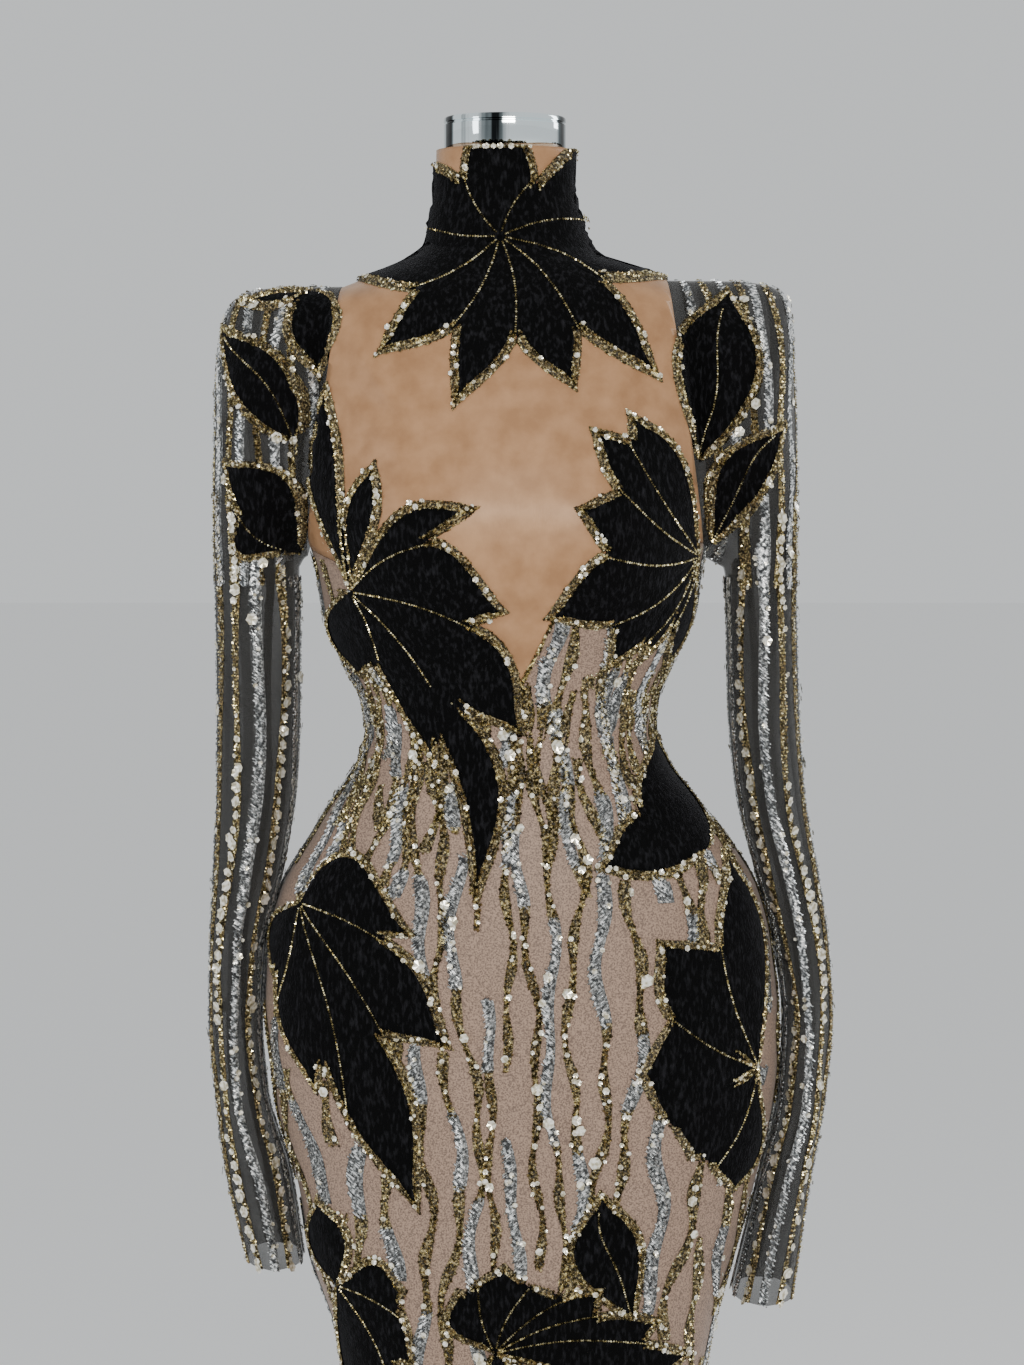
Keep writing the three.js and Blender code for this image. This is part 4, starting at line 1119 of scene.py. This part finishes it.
def body_stripe(index, spacing, low, high):
    # The beads
    z = np.arange(low, high, spacing)
    turn = stripe_turn(index, z)
    silver = silver_part(index, z)
    half = stripe_half_width(index, z, silver)
    worked = (z < stripe_top(turn)) & stripe_worked(index, z)
    for row in range(BEAD_ROWS):
        drift = half * (-1 + 2 * (row + chance.uniform(0, 1, len(z))) / BEAD_ROWS)
        high_z = z + chance.uniform(-0.8, 0.8, len(z))
        at = turn + drift / body_girth(z)
        points, normals = body_at(at, high_z, BEAD_RISE), body_normal(at, high_z)
        bare = worked & ~under_leaf(points)
        lay_beads(points, normals, bare, silver, index, row < 2)
    # The ribbon under them
    z = np.arange(low, high, BED_STEP)
    turn = stripe_turn(index, z)
    silver = silver_part(index, z)
    half = stripe_half_width(index, z, silver)
    worked = (z < stripe_top(turn)) & stripe_worked(index, z)
    rows = [body_at(turn + side * half / body_girth(z), z, out)
            for side, out in BODY_BED_SIDES]
    keep_strips(np.stack(rows, axis=1), worked, silver)


def keep_strips(strip, worked, silver, skin="body"):
    hidden = under_leaf(strip[:, 1], skin) | ~worked
    for kind, chosen in (("silver", silver), ("gold", ~silver)):
        # A ribbon runs on to the first row of the next kind, so that no gap is left
        chosen = chosen | np.roll(chosen, 1)
        part = strip.copy()
        part[hidden | ~chosen] = np.nan
        bed_strips[kind].append(part)


BUGLE_SLANT = 0.75
BRONZE_SHARE, BRONZE_SHARE_MORE = 0.3, 0.6
SPANGLE_SHARE, PAILLETTE_SHARE = 0.028, 0.0045
SEQUIN_TILT = 0.16


def lay_beads(points, normals, bare, silver, index, with_bugles):
    """Silver bugles where a stripe is silver, else gold and bronze beads, and some sequins."""
    upright = np.tile([0.0, 0.0, 1.0], (len(points), 1))
    if with_bugles:
        chosen = bare & silver
        side = np.cross(normals, upright)
        slant = upright * BUGLE_SLANT + side * (1 if index % 4 < 2 else -1)
        add_beads("silver", points[chosen] + normals[chosen] * 0.2, normals[chosen], slant[chosen])
    bronze_share = BRONZE_SHARE if index % 3 else BRONZE_SHARE_MORE
    mixed = chance.uniform(size=len(points)) < bronze_share
    for kind, chosen in (("bronze", bare & ~silver & mixed), ("gold", bare & ~silver & ~mixed)):
        add_beads(kind, points[chosen], normals[chosen])
    tilted = unit(normals + chance.normal(size=normals.shape) * SEQUIN_TILT)
    luck = chance.uniform(size=len(points))
    for kind, chosen, rise in (("spangle", bare & (luck < SPANGLE_SHARE), 1.2),
                               ("paillette", bare & (luck > 1 - PAILLETTE_SHARE), 1.6)):
        add_beads(kind, points[chosen] + normals[chosen] * rise, tilted[chosen])


# Stripes of the sleeves: their kinds in turn, and which of them carry a chain of sequins

SLEEVE_STRIPES = 11
SLEEVE_KINDS = ["silver", "gold", "gold", "silver", "gold"]
SLEEVE_HALF_WIDTH = {"silver": 3.3, "gold": 2.6}
CHAINS = (4, 7, 9)
CHAIN_STEP, CHAIN_TILT = 5, 0.15
CAP_END = 5.6  # the ring of the sleeve at which the cap ends
RING_SPACING, RING_BED_STEP = 0.034, 0.075  # steps along the sleeve, in rings
BED_SIDES = ((-1, 0.2), (0, 0.7), (1, 0.2))
UNDERARM_X, ARMHOLE_CLEAR = 141, 5


def beside_armhole(points):
    """True well clear of the armhole's seam and of the narrow space under it."""
    low = points[:, 2] < ARMHOLE_LOW[1]
    return np.where(low, np.abs(points[:, 0]) > UNDERARM_X, armhole_reach(points) > ARMHOLE_CLEAR)


def sleeve_stripe(name, last, k):
    kind = SLEEVE_KINDS[k % len(SLEEVE_KINDS)]

    def place(along, side, out):
        around = (k + 0.5) / SLEEVE_STRIPES + 0.008 * np.sin(along * 2.1 + k * 1.9)
        return sleeve_at(name, around + side * SLEEVE_HALF_WIDTH[kind] / SLEEVE_GIRTH, along, out)

    along = np.arange(CAP_END, last - 0.02, RING_SPACING)
    for row in range(BEAD_ROWS):
        side = -1 + 2 * (row + chance.uniform(0, 1, len(along))) / BEAD_ROWS
        points = place(along, side, BEAD_RISE)
        normals = unit(place(along, side, 1.6) - points)
        bare = beside_armhole(points) & ~under_leaf(points, name)
        silver = np.full(len(along), kind == "silver")
        lay_beads(points, normals, bare, silver, k, row < 2)
        if k in CHAINS and row == 1:
            linked = (np.arange(len(along)) % CHAIN_STEP == 0) & (np.sin(along * 1.3 + k) > -0.5)
            chain = bare & linked
            tilted = unit(normals + chance.normal(size=normals.shape) * CHAIN_TILT)
            add_beads("paillette", points[chain] + normals[chain] * 1.5, tilted[chain])
    along = np.arange(CAP_END, last, RING_BED_STEP)
    strip = np.stack([place(along, side, out) for side, out in BED_SIDES], axis=1)
    if SLEEVES[name][0] < 0:
        strip = strip[:, ::-1]
    worked = beside_armhole(strip[:, 1])
    keep_strips(strip[::-1], worked[::-1], np.full(len(along), kind == "silver"), name)


# Upright lines on the caps of the sleeves, seen from these bearings at these places across

CAP_ACROSS = (118, 130, 142, 153, 164, 175, 186, 197, 207)
CAP_HALF_WIDTH = {"silver": 3.0, "gold": 2.4}
CAPS = {  # front and back bearing, then the lines' top and foot
    "sleeve_right": ((-12, 192), 1385, 1170),
    "sleeve_left": ((12, 168), 1388, 1168),
}


def cap_sway(up, across):
    return 1.5 * np.sin(up / 17 + across)


def cap_line(name, facing, across, top, foot, kind):
    """An upright line of beads on a sleeve's cap, from the shoulder down to the stripes."""
    up = np.arange(foot, top, CLOSE)
    silver = np.full(len(up), kind == "silver")
    half = CAP_HALF_WIDTH[kind]
    sway = cap_sway(up, across)
    for row in range(BEAD_ROWS):
        drift = half * (-1 + 2 * (row + chance.uniform(0, 1, len(up))) / BEAD_ROWS)
        points, normals = onto_skin(name, facing, np.stack([across + sway + drift, up], axis=-1))
        bare = ~np.isnan(points[:, 0])
        points, normals = np.nan_to_num(points), np.nan_to_num(normals, nan=1.0)
        bare &= beside_armhole(points) & ~under_leaf(points, name)
        lay_beads(points + normals * BEAD_RISE, normals, bare, silver, abs(across), row < 2)
    up = np.arange(foot, top, BED_STEP)
    sway = cap_sway(up, across)
    columns = []
    for side, out in BED_SIDES:
        points, normals = onto_skin(name, facing, np.stack([across + sway + side * half, up], axis=-1))
        columns.append(points + normals * out)
    strip = np.stack(columns, axis=1)
    seen = ~np.isnan(strip).any(axis=(1, 2))
    worked = seen & beside_armhole(np.nan_to_num(strip[:, 1]))
    keep_strips(strip, worked, np.full(len(up), kind == "silver"), name)


def make_cap_lines():
    for name, (bearings, top, foot) in CAPS.items():
        side = SLEEVES[name][0]
        lines = [(facing, across) for facing in bearings for across in CAP_ACROSS]
        for number, (facing, across) in enumerate(lines):
            # Seen from behind, the sleeve lies on the other side of the view
            turned = side * across if abs(facing) < 90 else -side * across
            cap_line(name, facing, turned, top, foot, ("silver", "gold")[number % 2])


V_BORDER_TURNS = (-0.11, 0.13, 0.0016)
V_BORDER_ROWS = (-2.6, -1.2, 0.2, 1.6)


def make_v_border():
    """A narrow line of gold beads along the V of the yoke, where no leaf covers it."""
    turn = np.arange(*V_BORDER_TURNS)
    z = v_edge(turn)
    for rise in V_BORDER_ROWS:
        at = turn + chance.uniform(-0.0006, 0.0006, len(turn))
        points, normals = body_at(at, z + rise, 0.4), body_normal(at, z)
        bare = ~under_leaf(points)
        add_beads("gold", points[bare], normals[bare])


def make_stripes():
    for index in range(BODY_STRIPES):
        body_stripe(index, CLOSE, SPARSE_BELOW_Z, STRIPE_TOP_Z)
        body_stripe(index, SPARSE, HEM_Z + 2, SPARSE_BELOW_Z)
        # Short stripes fill the waist between the long ones
        reach = WAIST_REACH * math.sin(index * 2.1)
        body_stripe(index + 0.5, CLOSE, WAIST_LOW_Z + reach, WAIST_HIGH_Z + reach / 2)
    for name, (_, rows) in SLEEVES.items():
        for k in range(SLEEVE_STRIPES):
            sleeve_stripe(name, len(rows) - 1, k)
    make_cap_lines()
    make_v_border()
    make_bed("stripe_bed_gold", bed_strips["gold"], GOLD_BED)
    make_bed("stripe_bed_silver", bed_strips["silver"], SILVER_BED)
    make_bed("border_bed", border_strips, GOLD_BED)


# The concealed zip: two rows of small teeth behind the slit of the centre back

ZIP_TOP, ZIP_FOOT, TOOTH_STEP = 1446, 1020, 2.4


def make_zip_teeth():
    z = np.arange(ZIP_FOOT, ZIP_TOP, TOOTH_STEP)
    turn = np.full(len(z), 0.5)
    points, normals = body_at(turn, z, 0.1), body_normal(turn, z)
    sideways = np.tile([1.0, 0.0, 0.0], (len(z), 1))
    sizes = np.tile([1.1, 0.55, 0.9], (len(z), 1))
    scatter("zip_teeth", BUGLE, points, normals, sideways, sizes, GOLD)


# Building

make_body_cloth()
make_collar()
for sleeve_name in SLEEVES:
    make_sleeve(sleeve_name)
make_form()
for turned_node in TURNED:
    make_turned(turned_node)
for spray_name in SPRAYS:
    make_spray(spray_name)
make_stripes()
make_zip_teeth()
make_beads()

for metal_node in ("zip_slider", "zip_pull"):
    piece = frame["nodes"][metal_node]
    piece.data.materials.clear()
    piece.data.materials.append(GOLD)


# The cut of each sheet of cloth: width, length and area of its flat piece, in metres

FLAT_CUTS = {
    "cloth_front": (0.900, 1.200, 0.5714),
    "cloth_back_left": (0.450, 1.220, 0.2935),
    "cloth_back_right": (0.450, 1.220, 0.2944),
    "cloth_yoke_front": (0.375, 0.310, 0.0711),
    "cloth_yoke_back_left": (0.190, 0.195, 0.0265),
    "cloth_yoke_back_right": (0.190, 0.195, 0.0274),
    "cloth_collar": (0.450, 0.070, 0.0218),
    "cloth_sleeve_left": (0.310, 0.715, 0.1688),
    "cloth_sleeve_right": (0.310, 0.690, 0.1644),
    "velvet_spray_neck": (0.215, 0.222, 0.0383),
    "velvet_spray_bust_right": (0.151, 0.354, 0.0285),
    "velvet_spray_bust_left": (0.125, 0.176, 0.0189),
    "velvet_spray_shoulder_right": (0.082, 0.063, 0.0031),
    "velvet_spray_arm_right": (0.071, 0.081, 0.0035),
    "velvet_spray_elbow_right": (0.060, 0.070, 0.0039),
    "velvet_spray_shoulder_left": (0.062, 0.119, 0.0062),
    "velvet_spray_arm_left": (0.052, 0.084, 0.0027),
    "velvet_spray_waist": (0.110, 0.097, 0.0079),
    "velvet_spray_hip_left": (0.101, 0.237, 0.0197),
    "velvet_spray_hip_right": (0.147, 0.244, 0.0230),
    "velvet_spray_thigh_right": (0.093, 0.161, 0.0106),
    "velvet_spray_thigh_middle": (0.174, 0.154, 0.0146),
    "velvet_spray_thigh_left": (0.051, 0.091, 0.0031),
}

for name, (width, length, area) in FLAT_CUTS.items():
    piece = bpy.data.objects[name]


# Floor, light and camera

def make_stage():
    bm = bmesh.new()
    bmesh.ops.create_grid(bm, x_segments=1, y_segments=1, size=30)
    mesh = bpy.data.meshes.new("floor")
    bm.to_mesh(mesh)
    bm.free()
    floor = bpy.data.objects.new("floor", mesh)
    bpy.context.scene.collection.objects.link(floor)
    material, _ = new_material("pale_floor", (0.925, 0.925, 0.925), 0.9)
    mesh.materials.append(material)


def add_area_light(name, place, aim, size, power, colour=(1, 1, 1)):
    data = bpy.data.lights.new(name, "AREA")
    data.shape = "RECTANGLE"
    data.size, data.size_y = size
    data.energy = power
    data.color = colour
    light = bpy.data.objects.new(name, data)
    bpy.context.scene.collection.objects.link(light)
    light.location = place
    light.rotation_euler = (Vector(aim) - Vector(place)).to_track_quat("-Z", "Y").to_euler()


def make_light():
    world = bpy.data.worlds.new("studio")
    bpy.context.scene.world = world
    world.use_nodes = True
    background = world.node_tree.nodes["Background"]
    background.inputs["Color"].default_value = (0.70, 0.72, 0.73, 1)
    background.inputs["Strength"].default_value = 1.0
    add_area_light("key_above", (0.3, -2.4, 1.75), (0, 0, 1.15), (1.0, 0.4), 36, (1, 0.96, 0.90))
    add_area_light("fill_left", (-2.4, -1.6, 1.5), (0, 0, 1.0), (0.6, 1.6), 12, (0.93, 0.96, 1))
    add_area_light("rim_right", (2.2, 0.9, 2.2), (0, 0, 1.1), (0.6, 1.6), 16, (0.95, 0.97, 1))


def make_camera():
    distance, height, aim_z, aim_x, frame_tall = 2.45, 1.25, 1.100, 0.005, 0.955
    data = bpy.data.cameras.new("photo_view")
    camera = bpy.data.objects.new("photo_view", data)
    bpy.context.scene.collection.objects.link(camera)
    camera.location = (aim_x, -distance, height)
    aim = Vector((aim_x, 0, aim_z))
    camera.rotation_euler = (aim - camera.location).to_track_quat("-Z", "Y").to_euler()
    data.sensor_width = 36
    data.lens = data.sensor_width * (aim - camera.location).length / frame_tall
    data.clip_start = 0.05
    bpy.context.scene.camera = camera


make_stage()
make_light()
make_camera()
